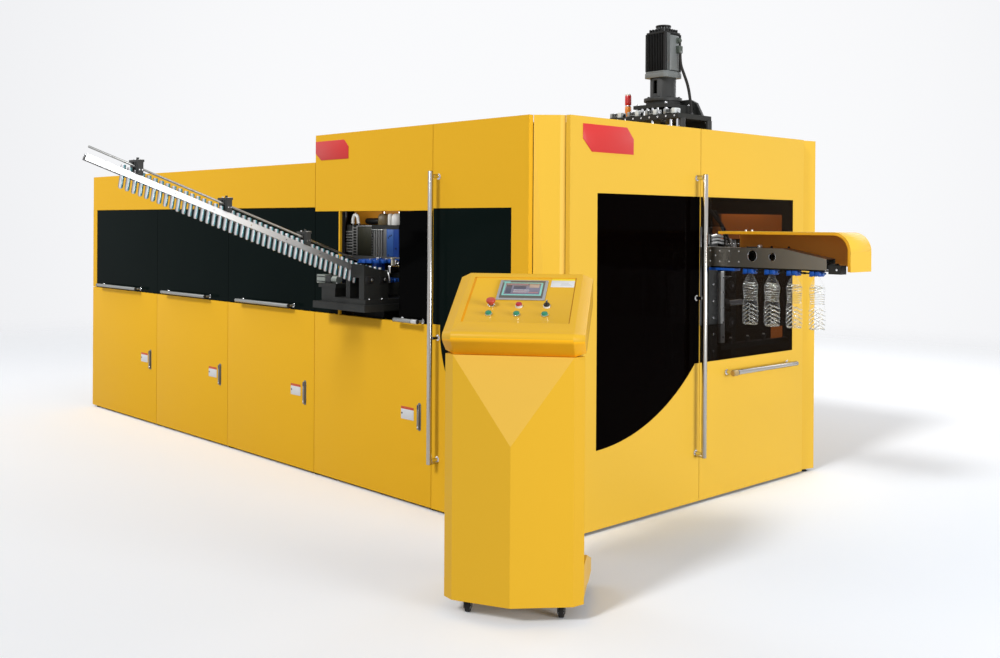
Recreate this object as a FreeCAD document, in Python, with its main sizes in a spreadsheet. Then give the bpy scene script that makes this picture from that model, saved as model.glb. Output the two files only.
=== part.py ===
"""Linear blow moulding machine for plastic bottles, with its preform rail and free-standing console.

Millimetres, +Z up. The floor is z = 0 and the origin is under the middle of everything that stands on it.
+X points out of the end where finished bottles leave, -Y is the long side where preforms come in.
"""

import FreeCAD
import Part
import math
import os
import Sketcher

os.makedirs("parts", exist_ok=True)
doc = FreeCAD.newDocument("BlowMoulder")
Vector = FreeCAD.Vector

# ---------------------------------------------------------------- driving dimensions
SIZES = {
    # cabinet envelope and the seams between its doors
    "end_face": 2310, "front_face": -420, "back_face": 2100, "left_face": -3235,
    "low_top": 2000, "tall_top": 2172, "panel_foot": 16,
    "seam_one": -2002, "seam_two": -882, "step_seam": 225, "seam_tall": 1399,
    "tall_door_end": 2164, "end_door_start": -273, "end_seam": 838, "end_door_finish": 1957,
    # sheet metal and glass
    "pan_depth": 30, "gauge": 2, "door_gap": 4, "glass_gauge": 6, "glass_lap": 18,
    "sill": 1045, "strip_top": 1711, "tall_strip_top": 1687, "strip_start": -3153,
    "infeed_left": 500, "infeed_right": 1098,
    # welded frame of square tube
    "tube": 60, "tube_wall": 4, "base_bottom": 40, "base_top": 120, "low_rail_top": 1960, "tall_rail_top": 2132,
    "foot_radius": 45, "foot_thick": 12, "foot_stem": 10,
    # door windows
    "tall_window_top": 1699, "tall_window_right": 2036, "tall_window_foot": 1468, "tall_window_low": 442,
    "end_window_left": -61, "end_window_top": 1778, "end_window_low": 430, "end_window_sill": 815,
    "end_window_foot": 795, "end_window_right": 1832, "tall_arc": 582, "end_arc": 1247,
    "notch_bottom": 1030, "notch_top": 1605, "notch_right": 1085,
    # handles
    "bar_radius": 15, "bar_standoff": 60, "bar_bottom": 280, "bar_top": 1903, "grip_radius": 12, "grip_standoff": 52,
    "latch_width": 27, "latch_height": 160, "latch_bottom": 434, "latch_inset": 118,
    # preform rail
    "rail_x": 750, "rail_kink": -460, "rail_height": 1348, "rail_slope": 20, "rail_length": 1762,
    "rail_depth": 34, "rail_gauge": 6, "rail_slot": 25, "landing_slope": 9.5, "landing_length": 178,
    "preform_pitch": 36.7, "preform_body": 12, "preform_length": 104, "preform_lean": 8, "preform_count": 43,
    "post_pitch": 505, "post_first": 382, "rod_height": 38,
    # feeder
    "feeder_base": 1090, "wheel_x": 620, "wheel_y": -210, "wheel_radius": 132, "wheel_low": 1248,
    "wheel_pockets": 18,
    # bottles, grippers and outfeed beam
    "bottle_y": 930, "cavity_pitch": 140, "bottle_start": 2590, "bottle_neck": 1345, "bottle_height": 290,
    "bottle_radius": 47, "beam_start": 2190, "beam_taper": 2819, "beam_finish": 3090, "beam_bottom": 1378,
    "beam_top": 1488, "beam_tip": 1437, "beam_width": 90, "hood_start": 2430, "hood_finish": 3250,
    "hood_front": 842, "hood_back": 1062, "hood_top": 1580, "hood_bend": 100, "hood_lip": 1373,
    # clamp
    "cavity_start": 1660, "mould_width": 550, "mould_depth": 180, "mould_bottom": 1030, "mould_top": 1340,
    "platen_thick": 50, "bar_low": 860, "bar_high": 1440, "tie_left": 1600, "tie_right": 2140, "table_top": 700,
    # stretch drive on the roof
    "drive_x": 1873, "drive_y": 1040, "deck_bottom": 2250, "deck_thick": 30,
    # console
    "console_x": 2890, "console_y": -1222, "console_turn": 37.7, "console_foot": 72, "console_neck": 1077,
    "desk_tilt": 26.1, "desk_front": 1180, "desk_nose": 62,
}

sheet = doc.addObject("Spreadsheet::Sheet", "Sizes")
for row, (alias, number) in enumerate(SIZES.items(), start=1):
    sheet.set(f"A{row}", alias)
    sheet.set(f"B{row}", str(number))
    sheet.setAlias(f"B{row}", alias)
doc.recompute()


class Length:
    """A number together with the expression that a property is bound to."""

    def __init__(self, number, text):
        self.number = number
        self.text = text

    def joined(self, other, sign, turned=False):
        left, right = (other, self) if turned else (self, other)
        a, b = number_of(left), number_of(right)
        results = {"+": a + b, "-": a - b, "*": a * b, "/": a / b if b else 0}
        return Length(results[sign], f"({text_of(left)} {sign} {text_of(right)})")

    def __add__(self, other):
        return self.joined(other, "+")

    def __radd__(self, other):
        return self.joined(other, "+", True)

    def __sub__(self, other):
        return self.joined(other, "-")

    def __rsub__(self, other):
        return self.joined(other, "-", True)

    def __mul__(self, other):
        return self.joined(other, "*")

    def __rmul__(self, other):
        return self.joined(other, "*", True)

    def __truediv__(self, other):
        return self.joined(other, "/")

    def __neg__(self):
        return self.joined(0, "-", True)


def number_of(value):
    return value.number if isinstance(value, Length) else float(value)


def text_of(value):
    return value.text if isinstance(value, Length) else repr(float(value))


def cell(alias):
    return Length(float(sheet.get(alias)), f"Sizes.{alias}")


class Cells:
    def __getattr__(self, alias):
        return cell(alias)


s = Cells()


# ---------------------------------------------------------------- small building helpers
def bind(thing, prop, value):
    """Set a property from a number, or tie it to the sheet."""
    if isinstance(value, Length):
        thing.setExpression(prop, value.text)


def place(thing, at=(0, 0, 0), axis=(0, 0, 1), angle=0):
    spot = Vector(*[number_of(v) for v in at])
    thing.Placement = FreeCAD.Placement(spot, FreeCAD.Rotation(Vector(*axis), number_of(angle)))
    for letter, value in zip("xyz", at):
        bind(thing, f"Placement.Base.{letter}", value)
    bind(thing, "Placement.Rotation.Angle", angle)
    return thing


def sized(thing, **sizes):
    for prop, value in sizes.items():
        setattr(thing, prop, number_of(value))
        bind(thing, prop, value)
    return thing


def box(name, low, high, axis=(0, 0, 1), angle=0):
    """A block between two corners, turned about its low corner."""
    thing = doc.addObject("Part::Box", name)
    sized(thing, Length=high[0] - low[0], Width=high[1] - low[1], Height=high[2] - low[2])
    return place(thing, low, axis, angle)


def rod(name, foot, radius, length, along="Z"):
    thing = doc.addObject("Part::Cylinder", name)
    sized(thing, Radius=radius, Height=length)
    turns = {"X": ((0, 1, 0), 90), "Y": ((1, 0, 0), -90), "Z": ((0, 0, 1), 0)}
    axis, angle = turns[along]
    return place(thing, foot, axis, angle)


def cone(name, foot, low_radius, high_radius, length):
    thing = doc.addObject("Part::Cone", name)
    sized(thing, Radius1=low_radius, Radius2=high_radius, Height=length)
    return place(thing, foot)


def cut(name, base, *tools):
    for count, tool in enumerate(tools):
        thing = doc.addObject("Part::Cut", name if count == len(tools) - 1 else f"{name}_cut")
        thing.Base = base
        thing.Tool = tool
        base = thing
    return base


def fuse(name, things):
    thing = doc.addObject("Part::MultiFuse", name)
    thing.Shapes = things
    thing.Refine = True
    return thing


def group(name, things):
    """Separate solids that share a node."""
    thing = doc.addObject("Part::Compound", name)
    thing.Links = things
    return thing


def moved(name, things, at=(0, 0, 0), axis=(0, 0, 1), angle=0):
    return place(group(name, things), at, axis, angle)


def arc_between(start, end, radius, side):
    """The circle arc from start to end whose centre lies to the left (side 1) or right (-1) of the chord."""
    chord = end - start
    half = chord.Length / 2
    across = Vector(-chord.y, chord.x, 0).normalize()
    rise = math.sqrt(max(radius * radius - half * half, 0))
    centre = (start + end) / 2 + across * (side * rise)
    low, high = (start, end) if side > 0 else (end, start)
    first = math.atan2(low.y - centre.y, low.x - centre.x)
    last = math.atan2(high.y - centre.y, high.x - centre.x)
    return Part.ArcOfCircle(Part.Circle(centre, Vector(0, 0, 1), radius), first, last)


def draw_loop(sketch, points):
    """Draw a closed outline. A point is (x, y), or (x, y, radius, side) when an arc leaves it."""
    first = sketch.GeometryCount
    count = len(points)
    spots = [Vector(number_of(p[0]), number_of(p[1]), 0) for p in points]
    ends = []
    for index, point in enumerate(points):
        start, end = spots[index], spots[(index + 1) % count]
        if len(point) == 4:
            sketch.addGeometry(arc_between(start, end, number_of(point[2]), point[3]))
            ends.append((1, 2) if point[3] > 0 else (2, 1))
        else:
            sketch.addGeometry(Part.LineSegment(start, end))
            ends.append((1, 2))
    for index, point in enumerate(points):
        here, after = first + index, first + (index + 1) % count
        following = ends[(index + 1) % count][0]
        sketch.addConstraint(Sketcher.Constraint("Coincident", here, ends[index][1], after, following))
        for kind, value in (("DistanceX", point[0]), ("DistanceY", point[1])):
            made = sketch.addConstraint(Sketcher.Constraint(kind, here, ends[index][0], number_of(value)))
            bind(sketch, f"Constraints[{made}]", value)
        if len(point) == 4:
            made = sketch.addConstraint(Sketcher.Constraint("Radius", here, number_of(point[2])))
            bind(sketch, f"Constraints[{made}]", point[2])


def draw_circle(sketch, x, y, radius):
    made = sketch.addGeometry(Part.Circle(Vector(number_of(x), number_of(y), 0), Vector(0, 0, 1), number_of(radius)))
    values = (("DistanceX", 3, x), ("DistanceY", 3, y))
    for kind, point, value in values:
        rule = sketch.addConstraint(Sketcher.Constraint(kind, made, point, number_of(value)))
        bind(sketch, f"Constraints[{rule}]", value)
    rule = sketch.addConstraint(Sketcher.Constraint("Radius", made, number_of(radius)))
    bind(sketch, f"Constraints[{rule}]", radius)


def new_body(name, plane):
    body = doc.addObject("PartDesign::Body", name)
    sketch = body.newObject("Sketcher::SketchObject", f"{name}_outline")
    home = [item for item in body.Origin.OriginFeatures if item.Role == f"{plane}_Plane"][0]
    sketch.AttachmentSupport = [(home, "")]
    sketch.MapMode = "FlatFace"
    return body, sketch


def plate(name, plane, outline, thick, at=(0, 0, 0), holes=(), circles=()):
    """A pad of an outline. It grows along +X from plane YZ, -Y from plane XZ and +Z from plane XY."""
    body, sketch = new_body(name, plane)
    draw_loop(sketch, outline)
    for hole in holes:
        draw_loop(sketch, hole)
    for circle in circles:
        draw_circle(sketch, *circle)
    pad = body.newObject("PartDesign::Pad", f"{name}_pad")
    pad.Profile = sketch
    sized(pad, Length=thick)
    body.Tip = pad
    return place(body, at)


def turned(name, profile, at=(0, 0, 0)):
    """A full turn about Z of a profile given as (radius, height) points."""
    body, sketch = new_body(name, "XZ")
    draw_loop(sketch, profile)
    spin = body.newObject("PartDesign::Revolution", f"{name}_spin")
    spin.Profile = sketch
    spin.ReferenceAxis = (sketch, ["V_Axis"])
    spin.Angle = 360
    body.Tip = spin
    return place(body, at)


def rectangle(left, bottom, right, top):
    return [(left, bottom), (right, bottom), (right, top), (left, top)]


NODES = []


def publish(label, thing):
    thing.Label = label
    NODES.append(thing)
    return thing


def repeat(label, master, spots, turn=None):
    """Copies of one solid at several places, as one node."""
    doc.recompute()
    copies = []
    for spot in spots:
        copy = master.Shape.copy()
        copy.translate(Vector(*spot))
        copies.append(copy)
    thing = doc.addObject("Part::Feature", label)
    thing.Shape = Part.makeCompound(copies)
    if turn is not None:
        thing.Placement = turn
    return thing


# ---------------------------------------------------------------- sheet-metal pans and handles
def rim(name, low, high, open_side):
    """The folded edge behind a door sheet: a ring of thin wall, open at front and back."""
    outer = box(f"{name}_outer", low, high)
    inner_low, inner_high = list(low), list(high)
    for index in range(3):
        if index != open_side:
            inner_low[index] = low[index] + s.gauge
            inner_high[index] = high[index] - s.gauge
    return cut(name, outer, box(f"{name}_inner", inner_low, inner_high))


def front_pan(name, left, bottom, right, top, outline=None, depth=s.pan_depth):
    """A door or panel of the long side: outer sheet and folded rim, as one folded piece."""
    back = s.front_face + depth
    skin = plate(f"{name}_skin", "XZ", outline or rectangle(left, bottom, right, top), s.gauge,
                 (0, s.front_face + s.gauge, 0))
    edge = rim(f"{name}_rim", (left, s.front_face + s.gauge, bottom), (right, back, top), 1)
    return fuse(name, [skin, edge])


def end_pan(name, left, bottom, right, top, outline, tools=()):
    """The same for the end face, which looks along +X."""
    skin = plate(f"{name}_skin", "YZ", outline, s.gauge, (s.end_face - s.gauge, 0, 0))
    edge = rim(f"{name}_rim", (s.end_face - s.pan_depth, left, bottom), (s.end_face - s.gauge, right, top), 0)
    if tools:
        edge = cut(f"{name}_notched", edge, *tools)
    return fuse(name, [skin, edge])


def bar_along(name, start, length, along, radius, standoff, feet, out):
    """A round pull bar and its short feet, each foot saddled to the bar. out points away from the door."""
    pieces = [rod(f"{name}_bar", start, radius, length, along)]
    for count, spot in enumerate(feet):
        if out == "-Y":
            foot = rod(f"{name}_post_{count}", (spot[0], start[1], spot[2]), radius * 0.62, standoff, "Y")
        else:
            reach = standoff + spot[0]
            foot = rod(f"{name}_post_{count}", (start[0] - reach, spot[1], spot[2]), radius * 0.62, reach, "X")
        seat = rod(f"{name}_seat_{count}", start, radius, length, along)
        pieces.append(cut(f"{name}_foot_{count}", foot, seat))
    return pieces


# ---------------------------------------------------------------- welded frame and feet
SEAMS = [s.left_face + 32, s.seam_one - 30, s.seam_two - 30, s.step_seam - 30, s.seam_tall - 30, s.tall_door_end - 64]


def tube_between(name, low, high, along):
    """Square tube: a block with its bore cut right through along one axis."""
    inner_low, inner_high = list(low), list(high)
    for index in range(3):
        if index != along:
            inner_low[index] = low[index] + s.tube_wall
            inner_high[index] = high[index] - s.tube_wall
    return cut(name, box(f"{name}_outer", low, high), box(f"{name}_bore", inner_low, inner_high))


def machine_frame():
    """Base rails, posts and top rails, welded end to end, with a drip deck on the base."""
    tubes = []
    front, back = s.front_face + 32, s.back_face - 32 - s.tube
    right = s.end_face - 32
    left = s.left_face + 32
    for count, y in enumerate((front, back)):
        tubes.append(tube_between(f"base_rail_{count}", (left, y, s.base_bottom),
                                  (right - (1 - count) * 118, y + s.tube, s.base_top), 0))
        tubes.append(tube_between(f"low_rail_{count}", (left, y, s.low_rail_top - s.tube),
                                  (s.step_seam - 30, y + s.tube, s.low_rail_top), 0))
        tubes.append(tube_between(f"tall_rail_{count}", (s.step_seam - 30, y, s.tall_rail_top - s.tube),
                                  (right - (1 - count) * 118, y + s.tube, s.tall_rail_top), 0))
        for number, x in enumerate(SEAMS):
            top = s.low_rail_top - s.tube if number < 3 else s.tall_rail_top - s.tube
            if number == 5 and count == 1:
                x = right - s.tube
            tubes.append(tube_between(f"post_{count}_{number}", (x, y, s.base_top), (x + s.tube, y + s.tube, top), 2))
    corner_y = s.end_door_start + 10
    tubes.append(tube_between("post_corner", (right - s.tube, corner_y, s.base_top),
                              (right, corner_y + s.tube, s.tall_rail_top - s.tube), 2))
    for count, x in enumerate(SEAMS[:5] + [right - s.tube]):
        near = corner_y if count == 5 else front + s.tube
        tubes.append(tube_between(f"cross_{count}", (x, near, s.base_bottom), (x + s.tube, back, s.base_top), 1))
        if count in (0, 1, 2):
            tubes.append(tube_between(f"low_cross_{count}", (x, near, s.low_rail_top - s.tube),
                                      (x + s.tube, back, s.low_rail_top), 1))
        if count in (3, 5):
            tubes.append(tube_between(f"tall_cross_{count}", (x, near, s.tall_rail_top - s.tube),
                                      (x + s.tube, back, s.tall_rail_top), 1))
    bevel = [(s.tall_door_end - 4, front), (s.tall_door_end + 4, front), (right - 16, s.front_face + 126),
             (right - 16, corner_y), (right - s.tube, corner_y), (s.tall_door_end - 4, front + s.tube)]
    for name, z in (("low", s.base_top - 8), ("high", s.tall_rail_top - 8)):
        tubes.append(plate(f"corner_tie_{name}", "XY", bevel, 8, (0, 0, z)))
    deck = box("drip_deck", (left, corner_y, s.base_top), (right - s.tube, back, s.base_top + 3))
    return publish("machine_frame", group("machine_frame", tubes + [deck]))


def levelling_feet():
    stem = rod("foot_stem", (0, 0, s.foot_thick), s.foot_stem, s.base_bottom - s.foot_thick)
    pad = cone("foot_pad", (0, 0, 0), s.foot_radius, s.foot_radius * 0.6, s.foot_thick)
    foot = fuse("foot", [pad, stem])
    rows = (number_of(s.front_face) + 62, number_of(s.back_face) - 62)
    places = [(number_of(x) + 30, y, 0) for x in SEAMS[:5] for y in rows]
    corner_x = number_of(s.end_face) - 62
    places += [(number_of(s.tall_door_end) - 34, rows[0], 0), (corner_x, rows[1], 0)]
    places.append((corner_x, number_of(s.end_door_start) + 40, 0))
    return publish("levelling_feet", repeat("levelling_feet", foot, places))


# ---------------------------------------------------------------- fixed panels
def roof_panels():
    low = box("low_roof", (s.left_face + 32, s.front_face + 32, s.low_rail_top),
              (s.step_seam - 30, s.back_face - 32, s.low_rail_top + 3))
    tall = plate("tall_roof", "XY",
                 [(s.step_seam - 30, s.front_face + 32), (s.tall_door_end + 4, s.front_face + 32),
                  (s.end_face - 48, s.front_face + 126), (s.end_face - 48, s.end_door_start + 10),
                  (s.end_face - 32, s.end_door_start + 10), (s.end_face - 32, s.back_face - 32),
                  (s.step_seam - 30, s.back_face - 32)], 3, (0, 0, s.tall_rail_top),
                 holes=[rectangle(1560, 840, 2170, 1178)])
    step = box("step_wall", (s.step_seam - 33, s.front_face + 32, s.low_rail_top + 3),
               (s.step_seam - 30, s.back_face - 32, s.tall_rail_top))
    return publish("roof_panels", group("roof_panels", [low, tall, step]))


FIXED_DEPTH = s.pan_depth + s.gauge


def fascia_panels():
    """Bands above the windows and the infeed, the panel that closes the low band's end, and the infeed's jamb."""
    left, right = s.left_face + 2, s.step_seam - s.door_gap / 2
    seat = s.strip_top + s.gauge
    back = s.front_face + FIXED_DEPTH
    low_band = front_pan("low_band", left, seat, right, s.low_top, depth=FIXED_DEPTH)
    strip = front_pan("low_strip", left, s.sill + 2, s.strip_start - 4, seat, depth=FIXED_DEPTH)
    tall_band = front_pan("tall_band", s.step_seam + s.door_gap / 2, s.tall_strip_top,
                          s.seam_tall - s.door_gap / 2, s.tall_top, depth=FIXED_DEPTH)
    jamb = box("infeed_jamb", (s.infeed_left - 14, s.front_face, s.sill), (s.infeed_left, back, s.tall_strip_top))
    return publish("fascia_panels", group("fascia_panels", [low_band, strip, tall_band, jamb]))


def infeed_glass():
    """The fixed pane between the last flap window and the infeed opening."""
    pane = box("infeed_pane", (s.step_seam + 2, s.front_face + s.gauge, s.sill + 2),
               (s.infeed_left - 14, s.front_face + s.gauge + s.glass_gauge, s.tall_strip_top))
    return publish("infeed_glass", pane)


def left_end_panel():
    low = (s.left_face, s.front_face + FIXED_DEPTH, s.panel_foot)
    high = (s.left_face + FIXED_DEPTH, s.back_face - FIXED_DEPTH, s.low_top)
    inner = box("left_inner", (s.left_face + s.gauge, low[1] + s.gauge, s.panel_foot + s.gauge),
                (high[0], high[1] - s.gauge, s.low_top - s.gauge))
    return publish("left_end_panel", cut("left_end_panel", box("left_outer", low, high), inner))


def back_panels():
    """Plain fixed pans that close the far long side."""
    edges = [s.left_face, s.seam_one, s.seam_two, s.step_seam, s.seam_tall, s.end_face - 110]
    pans = []
    for number in range(5):
        top = s.low_top if number < 3 else s.tall_top
        low = (edges[number] + 2, s.back_face - FIXED_DEPTH, s.panel_foot)
        high = (edges[number + 1] - 2, s.back_face, top)
        inner = box(f"back_inner_{number}", (low[0] + s.gauge, low[1], low[2] + s.gauge),
                    (high[0] - s.gauge, s.back_face - s.gauge, top - s.gauge))
        pans.append(cut(f"back_pan_{number}", box(f"back_outer_{number}", low, high), inner))
    return publish("back_panels", group("back_panels", pans))


def corner_columns():
    """Folded columns: the bevelled one between the two doors, and the one at the far end corner."""
    near = [(s.tall_door_end + 4, s.front_face + 28), (s.end_face - 46, s.front_face + 124),
            (s.end_face - 34, s.end_door_start + 5)]
    inside = [(x - 2, y + 2) for x, y in reversed(near)]
    bevel = plate("bevel_column", "XY", near + inside, s.tall_top - s.panel_foot, (0, 0, s.panel_foot))
    far = [(s.end_face - 30, s.end_door_finish + 4), (s.end_face, s.back_face), (s.end_face - 108, s.back_face),
           (s.end_face - 108, s.back_face - 2), (s.end_face - 3, s.back_face - 2),
           (s.end_face - 32, s.end_door_finish + 4)]
    strip = plate("far_column_sheet", "XY", far, s.tall_top - s.panel_foot, (0, 0, s.panel_foot))
    clips = [box(f"column_clip_{z}", (s.end_face - 32, s.back_face - 69, z), (s.end_face - 14, s.back_face - 40, z + 40))
             for z in (300, 1100, 1900)]
    return publish("corner_columns", group("corner_columns", [bevel, fuse("far_column", [strip] + clips)]))


# ---------------------------------------------------------------- doors and flap windows
def latch_spot(right):
    return right - s.latch_inset + 13


def lower_door(number, left, right):
    """A lower door with the fixed plate that its latch turns on."""
    name = f"lower_door_{number}"
    pan = front_pan(f"{name}_pan", left + 2, s.panel_foot, right - 2, s.sill - 2)
    x = latch_spot(right)
    middle = s.latch_bottom + s.latch_height / 2
    plate_low = (x - s.latch_width / 2, s.front_face - 3, s.latch_bottom)
    plate_high = (x + s.latch_width / 2, s.front_face, s.latch_bottom + s.latch_height)
    escutcheon = cut(f"{name}_escutcheon", box(f"{name}_plate", plate_low, plate_high),
                     rod(f"{name}_eye", (x, s.front_face - 4, middle), 6.05, 6, "Y"))
    return publish(name, group(name, [pan, escutcheon]))


def door_latch(number, right):
    """The quarter-turn lever of a lower door."""
    name = f"door_latch_{number}"
    x = latch_spot(right)
    middle = s.latch_bottom + s.latch_height / 2
    lever = box(f"{name}_lever", (x - 8, s.front_face - 17, s.latch_bottom + 8),
                (x + 8, s.front_face - 4, s.latch_bottom + s.latch_height - 8))
    pin = rod(f"{name}_pin", (x, s.front_face - 5, middle), 6, 4.8, "Y")
    return publish(name, fuse(name, [lever, pin]))


def grip(name, left, length, height, face):
    feet = [(left + 14, 0, height), (left + length - 14, 0, height)]
    return bar_along(name, (left, face - s.grip_standoff, height), length, "X", s.grip_radius,
                     s.grip_standoff, feet, "-Y")


def window(number, left, right, top, grip_left, grip_length, grip_height):
    """A dark flap pane hung from its top edge, with its lift bar."""
    name = f"window_{number}"
    face = s.front_face + s.gauge
    pane = box(f"{name}_pane", (left, face, s.sill + 2), (right, face + s.glass_gauge, top - 2))
    return publish(name, group(name, [pane] + grip(f"{name}_grip", grip_left, grip_length, grip_height, face)))


def tall_door():
    left, right = s.seam_tall + 2, s.tall_door_end - 2
    foot, top = s.panel_foot, s.tall_top
    outline = [(left, foot), (right, foot), (right, top), (left, top), (left, s.tall_window_top),
               (s.tall_window_right, s.tall_window_top), (s.tall_window_right, s.tall_window_low, s.tall_arc, -1),
               (s.tall_window_foot, s.sill + 5), (left, s.sill + 5)]
    pan = front_pan("tall_door_pan", left, foot, right, top, outline)
    start = (left + 51, s.front_face - s.bar_standoff, s.bar_bottom)
    feet = [(start[0], 0, height) for height in (285, 977, 1879)]
    bar = bar_along("tall_door_bar", start, s.bar_top - s.bar_bottom, "Z", s.bar_radius, s.bar_standoff, feet, "-Y")
    publish("tall_door", group("tall_door", [pan] + bar))
    lap = s.glass_lap
    inner = s.front_face + s.gauge + s.glass_gauge
    glass = [(left + 3, s.sill + 5 - lap), (s.tall_window_foot - lap, s.sill + 5 - lap, s.tall_arc, 1),
             (s.tall_window_right + lap, s.tall_window_low - lap),
             (s.tall_window_right + lap, s.tall_window_top + lap), (left + 3, s.tall_window_top + lap)]
    publish("tall_door_glass", plate("tall_door_glass", "XZ", glass, s.glass_gauge, (0, inner, 0)))


def end_left_door():
    left, right = s.end_door_start + 2, s.end_seam - 2
    foot, top = s.panel_foot, s.tall_top
    outline = [(left, foot), (right, foot), (right, s.end_window_sill), (s.end_window_foot, s.end_window_sill, s.end_arc, -1),
               (s.end_window_left, s.end_window_low), (s.end_window_left, s.end_window_top),
               (right, s.end_window_top), (right, top), (left, top)]
    pan = end_pan("end_left_door_pan", left, foot, right, top, outline)
    start = (s.end_face + s.bar_standoff, right - 34, s.bar_bottom)
    feet = [(0, start[1], 286), (s.gauge, start[1], 1193), (0, start[1], 1892)]
    bar = bar_along("end_left_door_bar", start, s.bar_top - s.bar_bottom, "Z", s.bar_radius, s.bar_standoff, feet, "+X")
    publish("end_left_door", group("end_left_door", [pan] + bar))
    lap = s.glass_lap
    inner = s.end_face - s.gauge - s.glass_gauge
    glass = [(s.end_window_left - lap, s.end_window_low - lap), (s.end_window_left, s.end_window_low - lap, s.end_arc + lap, 1),
             (s.end_window_foot + lap, s.end_window_sill - lap), (right - 3, s.end_window_sill - lap),
             (right - 3, s.end_window_top + lap), (s.end_window_left - lap, s.end_window_top + lap)]
    publish("end_left_glass", plate("end_left_glass", "YZ", glass, s.glass_gauge, (inner, 0, 0)))


def end_right_door():
    left, right = s.end_seam + 2, s.end_door_finish - 2
    foot, top = s.panel_foot, s.tall_top
    outline = [(left, foot), (right, foot), (right, top), (left, top), (left, s.end_window_top),
               (s.end_window_right, s.end_window_top), (s.end_window_right, s.end_window_sill),
               (left, s.end_window_sill)]
    notch = box("rim_notch", (s.end_face - 40, left - 10, s.notch_bottom), (s.end_face + 5, left + 40, s.notch_top))
    pan = end_pan("end_right_door_pan", left, foot, right, top, outline, [notch])
    handle_y, handle_z, handle_length = s.end_seam + 249, 739, 699
    start = (s.end_face + s.bar_standoff, handle_y, handle_z)
    feet = [(0, handle_y + 20, handle_z), (0, handle_y + handle_length - 20, handle_z)]
    bar = bar_along("end_right_door_bar", start, handle_length, "Y", s.bar_radius, s.bar_standoff, feet, "+X")
    publish("end_right_door", group("end_right_door", [pan] + bar))
    lap = s.glass_lap
    inner = s.end_face - s.gauge - s.glass_gauge
    glass = [(left + 3, s.end_window_sill - lap), (s.end_window_right + lap, s.end_window_sill - lap),
             (s.end_window_right + lap, s.end_window_top + lap), (left + 3, s.end_window_top + lap),
             (left + 3, s.notch_top), (s.notch_right, s.notch_top), (s.notch_right, s.notch_bottom),
             (left + 3, s.notch_bottom)]
    publish("end_right_glass", plate("end_right_glass", "YZ", glass, s.glass_gauge, (inner, 0, 0)))


# ---------------------------------------------------------------- preform rail and feeder
RAIL_TURN, LANDING_TURN = -s.rail_slope, -s.landing_slope
RAIL_PLACE = (s.rail_x, s.rail_kink, s.rail_height)


def rail_top(y):
    """Height of the bars' top edge at row position y."""
    kink, height = number_of(s.rail_kink), number_of(s.rail_height)
    slope = s.rail_slope if y < kink else s.landing_slope
    return height - (y - kink) * math.tan(math.radians(number_of(slope)))


def infeed_rail():
    """Two flat bars with a slot between them: the long slope, then a flatter landing on the feeder."""
    bars = []
    for count, side in enumerate((-1, 1)):
        inner = s.rail_slot / 2
        low_x = inner if side > 0 else -inner - s.rail_gauge
        slope = box(f"rail_slope_{count}", (0, 0, 0), (1, 1, 1))
        sized(slope, Length=s.rail_gauge, Width=s.rail_length, Height=s.rail_depth)
        place(slope, (low_x, -s.rail_length, -s.rail_depth))
        landing = box(f"rail_landing_{count}", (0, 0, 0), (1, 1, 1))
        sized(landing, Length=s.rail_gauge, Width=s.landing_length + 12, Height=s.rail_depth)
        place(landing, (low_x, -12, -s.rail_depth))
        bars.append(fuse(f"rail_bar_{count}", [
            moved(f"rail_tilted_{count}", [slope], (0, 0, 0), (1, 0, 0), RAIL_TURN),
            moved(f"landing_tilted_{count}", [landing], (0, 0, 0), (1, 0, 0), LANDING_TURN)]))
    return publish("infeed_rail", moved("infeed_rail", bars, RAIL_PLACE))


def guide_rod():
    """The hold-down rod above the preform necks, hung under three upright yokes that stand on the bars."""
    x = number_of(s.rail_x)
    straight = rod("hold_down", (0, -s.rail_length, s.rod_height), 6, s.rail_length - 14, "Y")
    pieces = [moved("hold_down_tilted", [straight], RAIL_PLACE, (1, 0, 0), RAIL_TURN)]
    for count in range(3):
        y = number_of(s.rail_kink) - number_of(s.post_first) - number_of(s.post_pitch) * count
        top = rail_top(y) + 64
        outline = [(y - 14, rail_top(y - 14)), (y + 14, rail_top(y + 14)), (y + 14, top), (y - 14, top)]
        pieces.append(plate(f"post_near_{count}", "YZ", outline, 30, (x + 17, 0, 0)))
        pieces.append(plate(f"post_far_{count}", "YZ", outline, 30, (x - 47, 0, 0)))
        pieces.append(box(f"cap_{count}", (x - 56, y - 17, top), (x + 51, y + 17, top + 12)))
        pieces.append(box(f"hanger_{count}", (x - 8, y - 12, top - 24), (x + 8, y + 12, top)))
        pieces.append(rod(f"screw_{count}", (x + 10, y, top + 12), 7, 12))
    return publish("guide_rod", fuse("guide_rod", pieces))


def preform_master(name):
    """One preform hanging by its neck ring: ring, neck above it, body with a domed foot below."""
    body, ring, neck = s.preform_body, 16.3, 12.4
    length = s.preform_length
    profile = [(0, -length), (body * 0.55, -length + 1.5), (body * 0.9, -length + 5), (body, -length + 11),
               (body, -4), (neck, -2), (neck, 0.2), (ring, 0.2), (ring, 3), (neck, 3), (neck, 19), (0, 19)]
    return turned(name, profile)


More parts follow.
